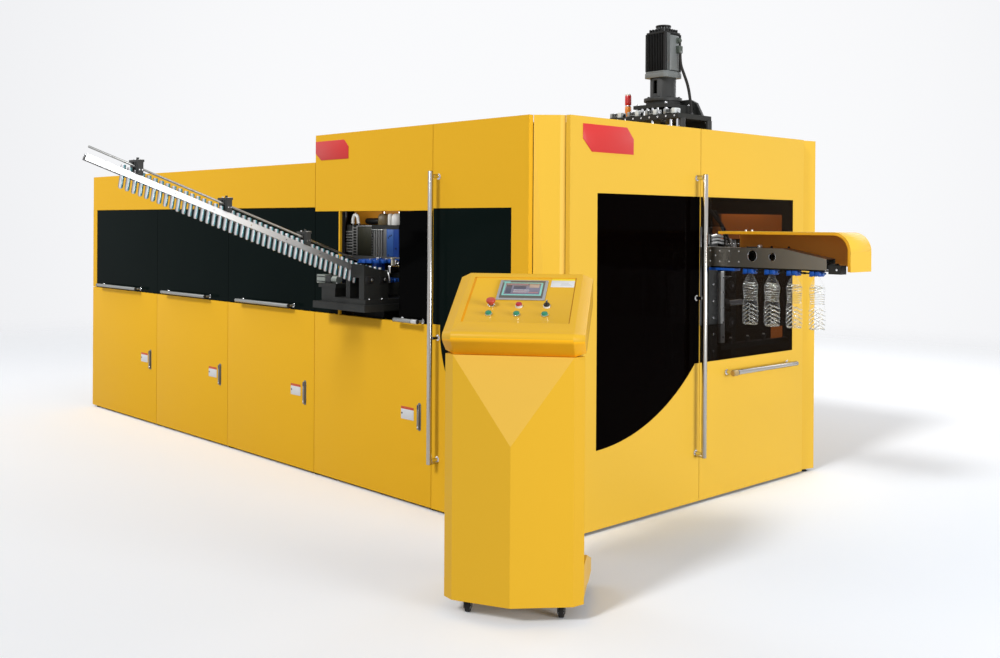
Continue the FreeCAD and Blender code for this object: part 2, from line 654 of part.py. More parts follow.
def preforms():
    """Sloping row of preforms, each swung nearly upright on the edge of its ring, then the few on the landing."""
    master = preform_master("preform")
    leaning = preform_master("preform_leaning")
    place(leaning, (0, 0, 0), (1, 0, 0), -s.preform_lean)
    pitch, count = number_of(s.preform_pitch), int(number_of(s.preform_count))
    x, y, z = [number_of(value) for value in RAIL_PLACE]
    slope, flat = [math.radians(number_of(value)) for value in (s.rail_slope, s.landing_slope)]
    spots, landed = [], []
    for number in range(count):
        reach, lift = pitch * (number + 0.5), 2.2
        spots.append((x, y - reach * math.cos(slope) + lift * math.sin(slope),
                      z + reach * math.sin(slope) + lift * math.cos(slope)))
    for number in range(5):
        reach, lift = pitch * (number + 0.5), 1.7
        landed.append((x, y + reach * math.cos(flat) + lift * math.sin(flat),
                       z - reach * math.sin(flat) + lift * math.cos(flat)))
    return publish("preforms", group("preforms", [repeat("preform_row", leaning, spots),
                                                  repeat("preform_landing", master, landed)]))


def infeed_unit():
    """The feeder: stepped base, castings either side of the landing, stands, hollow pedestal and wheel shaft."""
    x, y = s.rail_x, s.rail_kink
    low, deck = s.feeder_base, s.feeder_base + 72
    outer = number_of(s.rail_x) + number_of(s.rail_slot) / 2 + number_of(s.rail_gauge)
    inner = 2 * number_of(s.rail_x) - outer
    floor = number_of(s.feeder_base) + 72

    def cheek(name, left, right, start, finish, foot):
        kink = number_of(s.rail_kink)
        outline = [(start, foot), (finish, foot), (finish, rail_top(finish) - 2), (kink, rail_top(kink) - 2),
                   (start, rail_top(start) - 2)]
        return plate(name, "YZ", outline, right - left, (left, 0, 0))

    right_casting = fuse("feeder_casting", [cheek("feeder_wall", 850, 900, -525, -345, floor),
                                            cheek("feeder_shoulder", outer, 851, -525, -345, 1290)])
    cylinder = rod("air_cylinder", (352, -465, 1265), 23, 208, "X")
    pieces = [
        box("feeder_lip", (x - 350, y - 90, low), (x + 190, s.front_face - 4, low + 42)),
        box("feeder_foot", (s.infeed_left + 6, s.front_face - 4, low), (x + 190, y + 380, low + 42)),
        box("feeder_step", (x - 170, y - 70, low + 42), (x + 170, y + 360, deck)),
        tube_between("feeder_pedestal", (x - 150, y + 160, s.base_top + 3), (x + 50, y + 370, low), 2),
        right_casting,
        cheek("feeder_left", inner - 42, inner, -505, -360, floor),
        rod("feeder_stand", (628, -400, deck), 44, 83),
        box("stand_foot", (430, -505, low + 42), (575, -426, low + 125)),
        box("stand_wing", (400, -508, low + 125), (585, -426, low + 152)),
        cylinder,
        rod("wheel_boss", (s.wheel_x, s.wheel_y, deck), 32, s.wheel_low - deck - 4),
        rod("wheel_shaft", (s.wheel_x, s.wheel_y, s.wheel_low - 4), 14.95, 148),
        rod("wheel_knob", (s.wheel_x, s.wheel_y, s.wheel_low + 144), 22, 8),
    ]
    return publish("infeed_unit", group("infeed_unit", pieces))


def infeed_works():
    """What stands behind the infeed opening: its housing, and a shelf with coil, cabinets, block and domed covers."""
    def can(name, at, radius):
        height = 74
        return turned(name, [(0, 0), (radius, 0), (radius, height * 0.72), (radius * 0.86, height * 0.93),
                             (radius * 0.6, height), (0, height)], at)

    ribs = [(0, 0), (46, 0)]
    for number in range(8):
        ribs += [(46, 18 + 19 * number), (52, 20 + 19 * number), (52, 27 + 19 * number), (46, 29 + 19 * number)]
    ribs += [(46, 204), (0, 204)]
    pieces = [casing("works_housing", (-20, 60, 123), (640, 200, 1730)),
              box("works_shelf", (-10, -50, 1374), (630, 60, 1398)),
              turned("works_coil", ribs, (54, 5, 1398)),
              box("works_cabinet", (117, -50, 1398), (343, 60, 1602)),
              fuse("works_fins", [box("fin_body", (343, -40, 1398), (456, 60, 1575))]
                   + [box(f"fin_{number}", (352 + 26 * number, -50, 1398), (362 + 26 * number, -39, 1575))
                      for number in range(4)]),
              box("works_strip", (456, -50, 1398), (490, 60, 1575)),
              box("works_block", (494, -50, 1398), (619, 60, 1575)),
              box("works_band", (343, -50, 1575), (619, 60, 1602)),
              can("can_1", (398, 5, 1602), 43), can("can_2", (462, 5, 1602), 19), can("can_3", (556, 5, 1602), 52),
              fuse("works_roller", [rod("roller", (165, 38, 1628), 20, 178, "X"),
                                    box("roller_mount", (240, 45, 1612), (280, 60, 1644))])]
    return publish("infeed_works", group("infeed_works", pieces))


def star_wheel():
    """Two notched blue discs on one hub, which take preforms off the rail one by one."""
    low_disc = rod("wheel_disc_low", (0, 0, 0), s.wheel_radius, 22)
    high_disc = rod("wheel_disc_high", (0, 0, 119), s.wheel_radius, 20)
    hub = rod("wheel_hub", (0, 0, 0), 40, 139)
    notches = []
    pockets = int(number_of(s.wheel_pockets))
    for number in range(pockets):
        angle = math.radians(360 / pockets * (number + 0.5))
        reach = number_of(s.wheel_radius) + 3
        notches.append(rod(f"pocket_{number}", (reach * math.cos(angle), reach * math.sin(angle), -1), 14.2, 145))
    bore = rod("wheel_bore", (0, 0, -5), 15, 160)
    wheel = cut("wheel_cut", fuse("wheel_blank", [low_disc, high_disc, hub]), fuse("wheel_pockets", notches + [bore]))
    return publish("star_wheel", moved("star_wheel", [wheel], (s.wheel_x, s.wheel_y, s.wheel_low)))


def casing(name, low, high, wall=3):
    """A closed sheet-metal box."""
    inside = box(f"{name}_inside", [value + wall for value in low], [value - wall for value in high])
    return cut(name, box(f"{name}_outside", low, high), inside)


def oven_modules():
    """Preform heater: plinth and table, lamp boxes facing reflectors across the lane, and the return run."""
    pieces = [casing("oven_plinth", (-3080, 300, 123), (120, 1300, 860)),
              box("oven_table", (-3100, 280, 860), (140, 1320, 870)),
              casing("oven_return", (-3040, 900, 870), (90, 1180, 1380))]
    for number in range(8):
        x = -3040 + 390 * number
        pieces.append(casing(f"lamp_box_{number}", (x, 420, 870), (x + 350, 560, 1460)))
        pieces.append(box(f"mirror_{number}", (x, 640, 870), (x + 350, 650, 1460)))
    return publish("oven_modules", group("oven_modules", pieces))


# ---------------------------------------------------------------- clamp
CAVITIES = [s.cavity_start + s.cavity_pitch * number for number in range(4)]
PARTING = s.bottle_y
CLAMP_LEFT, CLAMP_RIGHT = 1560, 2180


def bottle_profile(radius, height, foot):
    """Half outline of the waisted bottle, from its foot to the top of its neck."""
    return [(0, foot), (radius * 0.86, foot), (radius, foot + 12), (radius, foot + height * 0.34),
            (radius * 0.88, foot + height * 0.5), (radius * 0.92, foot + height * 0.62), (radius, foot + height * 0.72),
            (radius * 0.82, foot + height * 0.83), (radius * 0.36, foot + height * 0.95),
            (radius * 0.3, foot + height), (0, foot + height)]


def mould_half(name, side):
    """Platen, mould block with its four half cavities, and the push rod behind."""
    gap = 0.2
    inner = PARTING + side * gap
    face = PARTING + side * s.mould_depth
    back = face + side * s.platen_thick
    left = (s.tie_left + s.tie_right) / 2 - s.mould_width / 2
    lows = (inner, face) if side > 0 else (face, inner)
    block = box(f"{name}_block", (left, lows[0], s.mould_bottom), (left + s.mould_width, lows[1], s.mould_top))
    cavities = []
    for number, x in enumerate(CAVITIES):
        profile = bottle_profile(s.bottle_radius, s.bottle_height, s.bottle_neck - s.bottle_height)
        cavities.append(turned(f"{name}_cavity_{number}", profile, (x, PARTING, 0)))
    mould = cut(f"{name}_mould", block, fuse(f"{name}_cavities", cavities))
    spans = (face, back) if side > 0 else (back, face)
    slab = box(f"{name}_slab", (CLAMP_LEFT, spans[0], 780), (CLAMP_RIGHT, spans[1], 1500))
    holes = [rod(f"{name}_hole_{x_name}_{z_name}", (x, spans[0] - 5, z), 25.05, s.platen_thick + 10, "Y")
             for x_name, x in (("left", s.tie_left), ("right", s.tie_right))
             for z_name, z in (("low", s.bar_low), ("high", s.bar_high))]
    platen = cut(f"{name}_platen", slab, fuse(f"{name}_holes", holes))
    reach = 320
    start = back if side > 0 else back - reach
    push = rod(f"{name}_push", ((s.tie_left + s.tie_right) / 2, start, 1180), 24, reach, "Y")
    return publish(name, group(name, [fuse(f"{name}_carrier", [platen, push]), mould]))


def clamp_frame():
    """Table, end plates, tie bars, push cylinders, head plate with its columns, and the outfeed post."""
    pieces = [box("table", (1500, 400, 640), (2250, 1460, s.table_top))]
    for x in (1510, 2120):
        for y in (420, 1320):
            pieces.append(box(f"leg_{x}_{y}", (x, y, s.base_top + 3), (x + 120, y + 120, 640)))
    middle = (s.tie_left + s.tie_right) / 2
    for name, y, outward in (("front", 470, -1), ("rear", 1340, 1)):
        slab = box(f"{name}_end", (CLAMP_LEFT, y, s.table_top), (CLAMP_RIGHT, y + 50, 1560))
        eye = rod(f"{name}_eye", (middle, y - 5, 1180), 24.05, 60, "Y")
        pieces.append(cut(f"{name}_end_plate", slab, eye))
        barrel_start = y - 240 if outward < 0 else y + 50
        shell = rod(f"{name}_shell", (middle, barrel_start, 1180), 60, 240, "Y")
        bore = rod(f"{name}_bore", (middle, barrel_start - 5, 1180), 24.05, 260, "Y")
        pieces.append(cut(f"{name}_cylinder", shell, bore))
    for x_name, x in (("left", s.tie_left), ("right", s.tie_right)):
        for z_name, z in (("low", s.bar_low), ("high", s.bar_high)):
            pieces.append(rod(f"tie_{x_name}_{z_name}", (x, 520, z), 25, 820, "Y"))
    head = box("head_plate", (CLAMP_LEFT, 470, 1560), (CLAMP_RIGHT, 1390, 1600))
    slots = [rod(f"rod_hole_{number}", (x, PARTING, 1555), 12, 50) for number, x in enumerate(CAVITIES)]
    pieces.append(cut("head", head, fuse("rod_holes", slots)))
    for x in (CLAMP_LEFT + 40, CLAMP_RIGHT - 40):
        for y in (885, 1150):
            pieces.append(rod(f"column_{x}_{y}", (x, y, 1600), 18, s.deck_bottom - 1600))
    pieces.append(box("outfeed_post", (2190, 1020, s.table_top), (2240, 1110, 1560)))
    pieces.append(box("outfeed_arm", (2190, PARTING + s.beam_width / 2, 1390), (2240, 1020, 1480)))
    return publish("clamp_frame", group("clamp_frame", pieces))


def stretch_carriage():
    """Cross plate with the four stretch rods, sliding on the columns."""
    slab = box("carriage_slab", (CLAMP_LEFT + 10, 850, 1930), (CLAMP_RIGHT - 10, 1180, 1965))
    holes = [rod(f"slide_{x}_{y}", (x, y, 1900), 18.05, 100)
             for x in (CLAMP_LEFT + 40, CLAMP_RIGHT - 40) for y in (885, 1150)]
    screw = rod("screw_hole", (s.drive_x, s.drive_y, 1900), 16.05, 100)
    rods = [rod(f"stretch_rod_{number}", (x, PARTING, 1512), 7, 420) for number, x in enumerate(CAVITIES)]
    carriage = cut("carriage_cut", slab, fuse("carriage_holes", holes + [screw]))
    return publish("stretch_carriage", fuse("stretch_carriage", [carriage] + rods))


# ---------------------------------------------------------------- drive on the roof
def roof_bracket():
    """Deck, square plate, round flange and slotted motor adapter, with the stiffening gusset at the back."""
    x, y = s.drive_x, s.drive_y
    top = s.deck_bottom + s.deck_thick
    back = 1182
    roof = s.tall_rail_top + 3
    adapter = rod("adapter", (x, y, top + 117), 80, 125)
    slot = box("adapter_slot", (x - 14, y - 100, top + 145), (x + 14, y - 40, top + 225))
    hollow = rod("adapter_hollow", (x, y, top + 117), 66, 140)
    body = fuse("bracket_body", [
        box("deck", (1590, 850, s.deck_bottom), (2135, back, top)),
        box("deck_rear", (x - 130, y, top), (x + 130, back, top + 50)),
        box("square_plate", (x - 130, y - 130, top + 50), (x + 130, y + 130, top + 72)),
        rod("neck", (x, y, top + 72), 105, 25),
        rod("round_flange", (x, y, top + 97), 118, 20),
        cut("adapter_cut", adapter, slot, hollow)])
    gusset = plate("gusset", "XZ", [(x - 33, roof), (2120, roof), (2120, 2190), (2020, 2374), (1975, 2397),
                                    (x - 33, 2397)], 22, (0, back + 22, 0))
    screw = rod("ball_screw", (x, y, 1612), 16, s.deck_bottom - 1612)
    return publish("roof_bracket", group("roof_bracket", [body, gusset, screw]))


def blow_valves():
    """Four blow valves along the front of the deck: square body, end cap and gauge."""
    top = s.deck_bottom + s.deck_thick
    body = box("valve_body", (-44, -32, 0), (20, 32, 32))
    cap = rod("valve_cap", (20, 0, 18), 18, 24, "X")
    stud = rod("valve_stud", (-10, 0, 32), 9, 10)
    master = fuse("valve", [body, cap, stud])
    places = [(1640 + number_of(s.cavity_pitch) * number, 890, number_of(top)) for number in range(4)]
    return publish("blow_valves", repeat("blow_valves", master, places))


def servo_motor():
    """Square finned servo motor: mounting flange, ribbed body, encoder cap and cable connector."""
    x, y = s.drive_x, s.drive_y
    low = s.deck_bottom + s.deck_thick + 242
    flange = box("motor_flange", (x - 88, y - 88, low), (x + 88, y + 88, low + 36))
    body = box("motor_body", (x - 78, y - 78, low + 36), (x + 78, y + 78, low + 283))
    ribs = []
    for number in range(5):
        offset = -66 + 28 * number
        ribs.append(box(f"rib_front_{number}", (x + offset, y - 84, low + 36), (x + offset + 12, y - 78, low + 275)))
        ribs.append(box(f"rib_back_{number}", (x + offset, y + 78, low + 36), (x + offset + 12, y + 84, low + 275)))
        ribs.append(box(f"rib_end_{number}", (x + 78, y + offset, low + 36), (x + 84, y + offset + 12, low + 275)))
        ribs.append(box(f"rib_far_{number}", (x - 84, y + offset, low + 36), (x - 78, y + offset + 12, low + 275)))
    cap = rod("encoder_cap", (x, y, low + 283), 48, 46)
    plug = box("plug_box", (x + 84, y + 20, low + 150), (x + 116, y + 60, low + 200))
    neck = box("plug_neck", (x + 78, y + 24, low + 152), (x + 84, y + 56, low + 198))
    return publish("servo_motor", fuse("servo_motor", [flange, body, cap, plug, neck] + ribs))


def motor_cable():
    """The motor lead, fixed at both ends: from its plug down past the flange to the deck."""
    top = number_of(s.deck_bottom) + number_of(s.deck_thick)
    x, y = number_of(s.drive_x) + 100, number_of(s.drive_y) + 40
    route = [(x, y, top + 392), (x, y, top + 330), (x + 28, y + 4, top + 262), (x + 56, y + 10, top + 184),
             (x + 64, y + 20, top + 100), (x + 64, y + 30, top + 44), (x + 64, y + 30, top)]
    return publish("motor_cable", tube_along("motor_cable", [Vector(*point) for point in route], 9))


def tube_along(label, points, radius):
    """A round tube whose path is straight runs joined by tangent arcs."""
    edges = []
    start = points[0]
    for before, corner, after in zip(points, points[1:], points[2:]):
        incoming, outgoing = corner - before, after - corner
        angle = incoming.getAngle(outgoing)
        reach = 0.45 * min(incoming.Length, outgoing.Length)
        unit_in, unit_out = Vector(incoming).normalize(), Vector(outgoing).normalize()
        enter, leave = corner - unit_in * reach, corner + unit_out * reach
        bend = reach / math.tan(angle / 2)
        print(f"{label}: bend radius {bend:.0f} mm")
        inward = (unit_out - unit_in).normalize()
        middle = corner + inward * (bend / math.cos(angle / 2) - bend)
        edges.append(Part.LineSegment(start, enter).toShape())
        edges.append(Part.Arc(enter, middle, leave).toShape())
        start = leave
    edges.append(Part.LineSegment(start, points[-1]).toShape())
    path = Part.Wire(edges)
    direction = Vector(points[1] - points[0]).normalize()
    ring = Part.Wire([Part.Circle(points[0], direction, radius).toShape()])
    solid = path.makePipeShell([ring], True, False)
    expected = math.pi * radius * radius * path.Length
    print(f"{label}: length {path.Length:.0f} mm, volume {solid.Volume / expected:.4f} of section times length")
    thing = doc.addObject("Part::Feature", label)
    thing.Shape = solid
    return thing


def stack_light():
    """Signal lamp on the deck: stem, amber and red lenses, cap."""
    x, y = 1614, 1015
    top = s.deck_bottom + s.deck_thick
    return publish("stack_light", fuse("stack_light", [
        rod("lamp_stem", (x, y, top), 10, 20), rod("lamp_amber", (x, y, top + 20), 20, 66),
        rod("lamp_ring", (x, y, top + 86), 18, 6), rod("lamp_red", (x, y, top + 92), 20, 66),
        rod("lamp_cap", (x, y, top + 158), 20, 10)]))


# ---------------------------------------------------------------- outfeed
BOTTLES = [s.bottle_start + s.cavity_pitch * number for number in range(4)]


def outfeed_beam():
    """Folded stainless channel, open below, tapering to its tip, with the end block."""
    outline = [(s.beam_start, s.beam_bottom), (s.beam_finish, s.beam_bottom), (s.beam_finish, s.beam_tip),
               (s.beam_taper, s.beam_top), (s.beam_start, s.beam_top)]
    hollow = [(s.beam_start - 5, s.beam_bottom - 5), (s.beam_finish + 5, s.beam_bottom - 5),
              (s.beam_finish + 5, s.beam_tip - 4), (s.beam_taper, s.beam_top - 3), (s.beam_start - 5, s.beam_top - 3)]
    back = s.bottle_y + s.beam_width / 2
    solid = plate("beam_solid", "XZ", outline, s.beam_width, (0, back, 0))
    inside = plate("beam_inside", "XZ", hollow, s.beam_width - 6, (0, back - 3, 0))
    eyes = [rod("beam_eye_large", (2629, back - 100, 1443), 32, 120, "Y"),
            rod("beam_eye_small", (2758, back - 100, 1440), 23, 120, "Y")]
    channel = cut("beam_channel", solid, inside, *eyes)
    block = box("end_block", (s.beam_finish, s.bottle_y - 28, 1357), (s.beam_finish + 74, s.bottle_y + 28, 1405))
    shoe = box("end_shoe", (s.beam_finish - 30, s.bottle_y - 42, 1384), (s.beam_finish, s.bottle_y + 42, 1405))
    return publish("outfeed_beam", group("outfeed_beam", [channel, fuse("beam_end", [block, shoe])]))


def gripper_bar():
    """Slide bar under the beam with a blue fork for each bottle neck."""
    low, high = s.bottle_neck - 4, s.beam_bottom - 9
    bar = box("slide_bar", (2330, s.bottle_y - 22, high), (s.beam_finish - 2, s.bottle_y + 22, s.beam_bottom - 1))
    track = s.beam_width / 2 - 3.05
    runner = box("runner", (2450, s.bottle_y - track, s.beam_bottom - 1), (2800, s.bottle_y + track, s.beam_bottom + 22))
    guide = box("gripper_guide", (2330, s.bottle_y - 34, high - 16), (2500, s.bottle_y + 34, high))
    pieces = [bar, runner, guide]
    for number, x in enumerate(BOTTLES):
        fork = box(f"fork_{number}", (x - 44, s.bottle_y - 30, low), (x + 46, s.bottle_y + 30, high))
        throat = rod(f"throat_{number}", (x, s.bottle_y, low - 2), 14.4, high - low + 1)
        pieces.append(cut(f"gripper_{number}", fork, throat))
    return publish("gripper_bar", fuse("gripper_bar", pieces))


def bottles():
    """Blown bottles hanging by the neck: thin-walled, open at the top."""
    wall = 1.0
    foot = s.bottle_neck - s.bottle_height
    radius, height = s.bottle_radius, s.bottle_height
    outer = bottle_profile(radius, height, foot)
    neck = radius * 0.3
    rise = s.bottle_neck
    profile = outer[:-2] + [(neck, rise - 8), (neck, rise + 23), (neck - wall - 1, rise + 23), (neck - wall - 1, rise - 8)]
    inner = [(r - wall, z) for r, z in reversed(outer[2:-2])]
    profile += inner + [(radius * 0.84, foot + wall), (0, foot + wall)]
    made = []
    for number, x in enumerate(BOTTLES):
        made.append(turned(f"bottle_{number}", profile, (x, s.bottle_y, 0)))
    return publish("bottles", group("bottles", made))


def outfeed_hood():
    """Bent sheet roof over the leaving bottles, with its back plate and two spacers to the beam."""
    thick = 3
    start, finish, top, bend, lip = s.hood_start, s.hood_finish, s.hood_top, s.hood_bend, s.hood_lip
    outline = [(start, top - thick), (finish - bend, top - thick, bend - thick, -1), (finish - thick, top - bend),
               (finish - thick, lip), (finish, lip), (finish, top - bend, bend, 1), (finish - bend, top), (start, top)]
    roof = plate("hood_roof", "XZ", outline, s.hood_back - s.hood_front, (0, s.hood_back, 0))
    back = plate("hood_back_plate", "XZ",
                 [(start, 1400), (finish - thick, lip + 20), (finish - thick, top - bend, bend - thick, 1),
                  (finish - bend, top - thick), (start, top - thick)], thick, (0, s.hood_back, 0))
    beam_back = s.bottle_y + s.beam_width / 2
    spacers = [rod(f"spacer_{x}", (x, beam_back, 1455), 10, s.hood_back - thick - beam_back, "Y") for x in (2560, 2700)]
    return publish("outfeed_hood", group("outfeed_hood", [fuse("hood_sheet", [roof, back])] + spacers))


# ---------------------------------------------------------------- console, in its own frame: front towards -Y
CONSOLE_SPOT = (s.console_x, s.console_y, 0)
CASTER_SPREAD, FRONT_CASTER, REAR_CASTER = 195, 35, 430


def on_floor(label, pieces):
    """Stand console pieces in their place on the floor, turned to face the operator's aisle."""
    return publish(label, moved(label, pieces, CONSOLE_SPOT, (0, 0, 1), s.console_turn))


def on_desk(name, pieces):
    """Tilt pieces drawn on the flat (x across, y up the slope, z off the surface) onto the sloping desk."""
    return moved(name, pieces, (0, -s.desk_nose, s.desk_front), (1, 0, 0), s.desk_tilt)


def column_shell(name, inset):
    """Console column with its faceted prow; inset shrinks it for the hollow."""
    side, brow, prow = 290 - inset, -28 + inset, -90 + inset
    outline = [(-side, 15 + inset * 0.4), (-250 + inset * 0.3, brow), (0, prow), (250 - inset * 0.3, brow),
               (side, 15 + inset * 0.4), (262 - inset, 60), (262 - inset, 250 - inset), (-262 + inset, 250 - inset),
               (-262 + inset, 60)]
    bottom, top = s.console_foot + inset, s.console_neck - inset
    solid = plate(name + "_prism", "XY", outline, top - bottom, (0, 0, bottom))
    facet = plate(name + "_facet", "YZ", [(brow, s.console_neck), (prow, 720), (prow - 40, 720),
                                          (prow - 40, s.console_neck + 4), (brow, s.console_neck + 4)], 600, (-300, 0, 0))
    return cut(name, solid, facet)


def console_column():
    """Sheet-metal column, wedge foot behind it and the two fixed rear casters' forks."""
    column = cut("column", column_shell("column_outer", 0), column_shell("column_inner", 3))
    wedge = plate("wedge_outer", "YZ", [(250, 72), (330, 60), (480, 60), (480, 119), (250, 200)], 570, (-285, 0, 0))
    hollow = plate("wedge_inner", "YZ", [(253, 75), (331, 63), (477, 63), (477, 116), (253, 195)], 564, (-282, 0, 0))
    pieces = [column, cut("wedge", wedge, hollow)]
    for name, x in (("left", -CASTER_SPREAD), ("right", CASTER_SPREAD)):
        pieces.append(caster_fork(f"rear_fork_{name}", x, REAR_CASTER, 0, 60))
        front_plate = box(f"front_plate_{name}", (x - 28, FRONT_CASTER - 28, 62), (x + 28, FRONT_CASTER + 28, 72))
        pieces.append(cut(f"front_socket_{name}", front_plate, rod(f"socket_{name}", (x, FRONT_CASTER, 60), 12.05, 14)))
    return on_floor("console_column", pieces)


def caster_fork(name, x, y, trail, top=None):
    """Crown and two cheeks with the wheel axle between them, under a plate if fixed or a swivel stem if not."""
    crown = box(f"{name}_crown", (x - 17, y - 18, 52), (x + 17, y + 18 + trail, 56))
    cheeks = [box(f"{name}_cheek_{side}", (x + side - 1.5, y - 14 + trail, 18), (x + side + 1.5, y + 14 + trail, 53))
              for side in (-15.5, 15.5)]
    axle = rod(f"{name}_axle", (x - 17, y + trail, 25), 4, 34, "X")
    if top is None:
        head = rod(f"{name}_stem", (x, y, 55), 12, 16.8)
    else:
        head = box(f"{name}_plate", (x - 28, y - 28, 55), (x + 28, y + 28, top))
    return fuse(name, [head, crown, axle] + cheeks)


def caster_wheel(name, x, y):
    tyre = rod(f"{name}_tyre", (x - 11, y, 25), 25, 22, "X")
    bore = rod(f"{name}_bore", (x - 20, y, 25), 4.06, 40, "X")
    return cut(name, tyre, bore)


def casters():
    trail = 16
    for name, x in (("left", -CASTER_SPREAD), ("right", CASTER_SPREAD)):
        fork = caster_fork(f"fork_{name}", x, FRONT_CASTER, trail)
        on_floor(f"caster_fork_{name}", [fork])
        on_floor(f"caster_wheel_{name}", [caster_wheel(f"wheel_{name}", x, FRONT_CASTER + trail)])
    rear = [caster_wheel(f"rear_wheel_{x}", x, REAR_CASTER) for x in (-CASTER_SPREAD, CASTER_SPREAD)]
    on_floor("caster_wheels_rear", rear)


def console_head():
    """Desk head: straight middle, chamfered cheeks, a recessed panel and a collar for each control."""
    neck = s.console_neck
    middle = [(-8, neck), (-73, 1131, 26, -1), (-s.desk_nose, s.desk_front), (375, 1394), (400, 1380), (400, neck)]
    core = plate("head_core", "YZ", middle, 500, (-250, 0, 0))
    inside = plate("head_inside", "YZ", [(0, neck + 3), (-62, 1133), (-58, 1172), (374, 1384), (397, 1374), (397, neck + 3)],
                   494, (-247, 0, 0))
    shell = cut("head_shell", core, inside)
    wide = plate("head_wide", "YZ", [(38, neck + 3), (-26, 1133), (-16, 1168), (382, 1368), (397, 1361), (397, neck + 3)],
                 572, (-286, 0, 0))
    cheek_outer = [(32, neck), (-33, 1131), (-22, 1172), (384, 1374), (400, 1366), (400, neck)]
    cheek_inner = [(-8, neck), (-73, 1131), (-s.desk_nose, s.desk_front), (375, 1394), (400, 1380), (400, neck)]
    cheeks = [cheek(f"cheek_{side}", cheek_inner, cheek_outer, side) for side in (-1, 1)]
    recess = on_desk("desk_recess", [box("recess_block", (-225, 70, -1.5), (225, 452, 6))])
    body = cut("head_body", fuse("head_blank", [shell] + cheeks), wide, recess)
    collars = []
    for number, (x, y) in enumerate(CONTROLS):
        collars.append(cut(f"collar_{number}", rod(f"collar_outer_{number}", (x, y, -1.5), 15, 7.5),
                           rod(f"collar_bore_{number}", (x, y, -3), 11.05, 12)))
    return on_floor("console_head", [body, on_desk("collars", collars)])


def cheek(name, inner, outer, side):
    """Side cap whose front and top edges fall away: a ruled loft between two outlines."""
    sections = []
    for label, points, x in (("inner", inner, 250), ("outer", outer, 289)):
        sketch = doc.addObject("Sketcher::SketchObject", f"{name}_{label}")
        sketch.Placement = FreeCAD.Placement(Vector(side * x, 0, 0),
                                             FreeCAD.Rotation(Vector(1, 1, 1), 120))
        draw_loop(sketch, points)
        sections.append(sketch)
    loft = doc.addObject("Part::Loft", name)
    loft.Sections = sections
    loft.Solid = True
    loft.Ruled = True
    return loft


CONTROLS = [(-116, 202), (2, 200), (119, 202), (-116, 128), (1, 128), (118, 128)]


def console_hmi():
    """Operator panel: bezel with its sunken screen."""
    bezel = box("bezel", (-105, 252, -1.5), (105, 420, 6))
    screen = box("screen_pocket", (-80, 292, 4.5), (80, 386, 8))
    return on_floor("console_hmi", [on_desk("hmi_tilted", [cut("hmi_body", bezel, screen)])])


def push_button(label, spot, cap_radius, cap_low, cap_high):
    """A stem that runs in its collar, and the cap that is pressed."""
    x, y = spot
    stem = rod(f"{label}_stem", (x, y, 5), 11, cap_low - 5 + 1)
    cap = rod(f"{label}_cap", (x, y, cap_low), cap_radius, cap_high - cap_low)
    return on_floor(label, [on_desk(f"{label}_tilted", [fuse(f"{label}_solid", [stem, cap])])])


def controls():
    push_button("emergency_stop", CONTROLS[0], 20, 20, 34)
    push_button("red_button", CONTROLS[1], 10.8, 10, 17)
    for number in range(3):
        push_button(f"green_button_{number + 1}", CONTROLS[3 + number], 10.8, 10, 16)
    x, y = CONTROLS[2]
    knob = rod("selector_disc", (x, y, 6.4), 13, 9)
    stem = rod("selector_stem", (x, y, 1), 11, 6)
    lever = box("selector_lever", (x - 4, y - 13, 15), (x + 4, y + 15, 26))
    tilted = on_desk("selector_tilted", [fuse("selector_solid", [knob, stem, lever])])
    on_floor("selector_switch", [tilted])


# ---------------------------------------------------------------- build everything
machine_frame()
levelling_feet()
roof_panels()
fascia_panels()
infeed_glass()
left_end_panel()
back_panels()
corner_columns()
DOOR_EDGES = [s.left_face, s.seam_one, s.seam_two, s.step_seam, s.seam_tall]
for index in range(4):
    lower_door(index + 1, DOOR_EDGES[index], DOOR_EDGES[index + 1])
    door_latch(index + 1, DOOR_EDGES[index + 1])
GRIP_HEIGHT = 1071
window(1, s.strip_start, s.seam_one - 2, s.strip_top, -3027, 745, GRIP_HEIGHT)
window(2, s.seam_one + 2, s.seam_two - 2, s.strip_top, -1820, 689, GRIP_HEIGHT)
window(3, s.seam_two + 2, s.step_seam - 2, s.strip_top, -682, 674, GRIP_HEIGHT)
window(4, s.infeed_right, s.seam_tall - 2, s.tall_strip_top, 1119, 212, GRIP_HEIGHT - 12)
tall_door()
end_left_door()
end_right_door()
infeed_rail()
guide_rod()
preforms()
infeed_unit()
infeed_works()
star_wheel()
oven_modules()
mould_half("mould_front", -1)
mould_half("mould_rear", 1)
clamp_frame()
stretch_carriage()
roof_bracket()
blow_valves()
servo_motor()
motor_cable()
stack_light()
outfeed_beam()
gripper_bar()
bottles()
outfeed_hood()
console_column()
console_head()
console_hmi()
controls()
casters()

doc.recompute()
faults = [item.Name for item in doc.Objects if {"Invalid", "Error"} & set(item.State)]
faults += [item.Label for item in NODES if item.Shape.isNull() or not item.Shape.isValid()]
if faults:
    raise SystemExit(f"these objects failed: {faults}")
for item in NODES:
    item.Shape.exportStep(f"parts/{item.Label}.step")
print(f"{len(NODES)} parts written")
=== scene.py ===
"""Looks of the blow moulding machine: finishes, fittings, bottles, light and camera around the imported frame.

Everything is built in the row frame. Lengths in the building code are millimetres, which Shape.done() makes
metres.
"""

import math

import bmesh
import bpy
from mathutils import Matrix, Vector


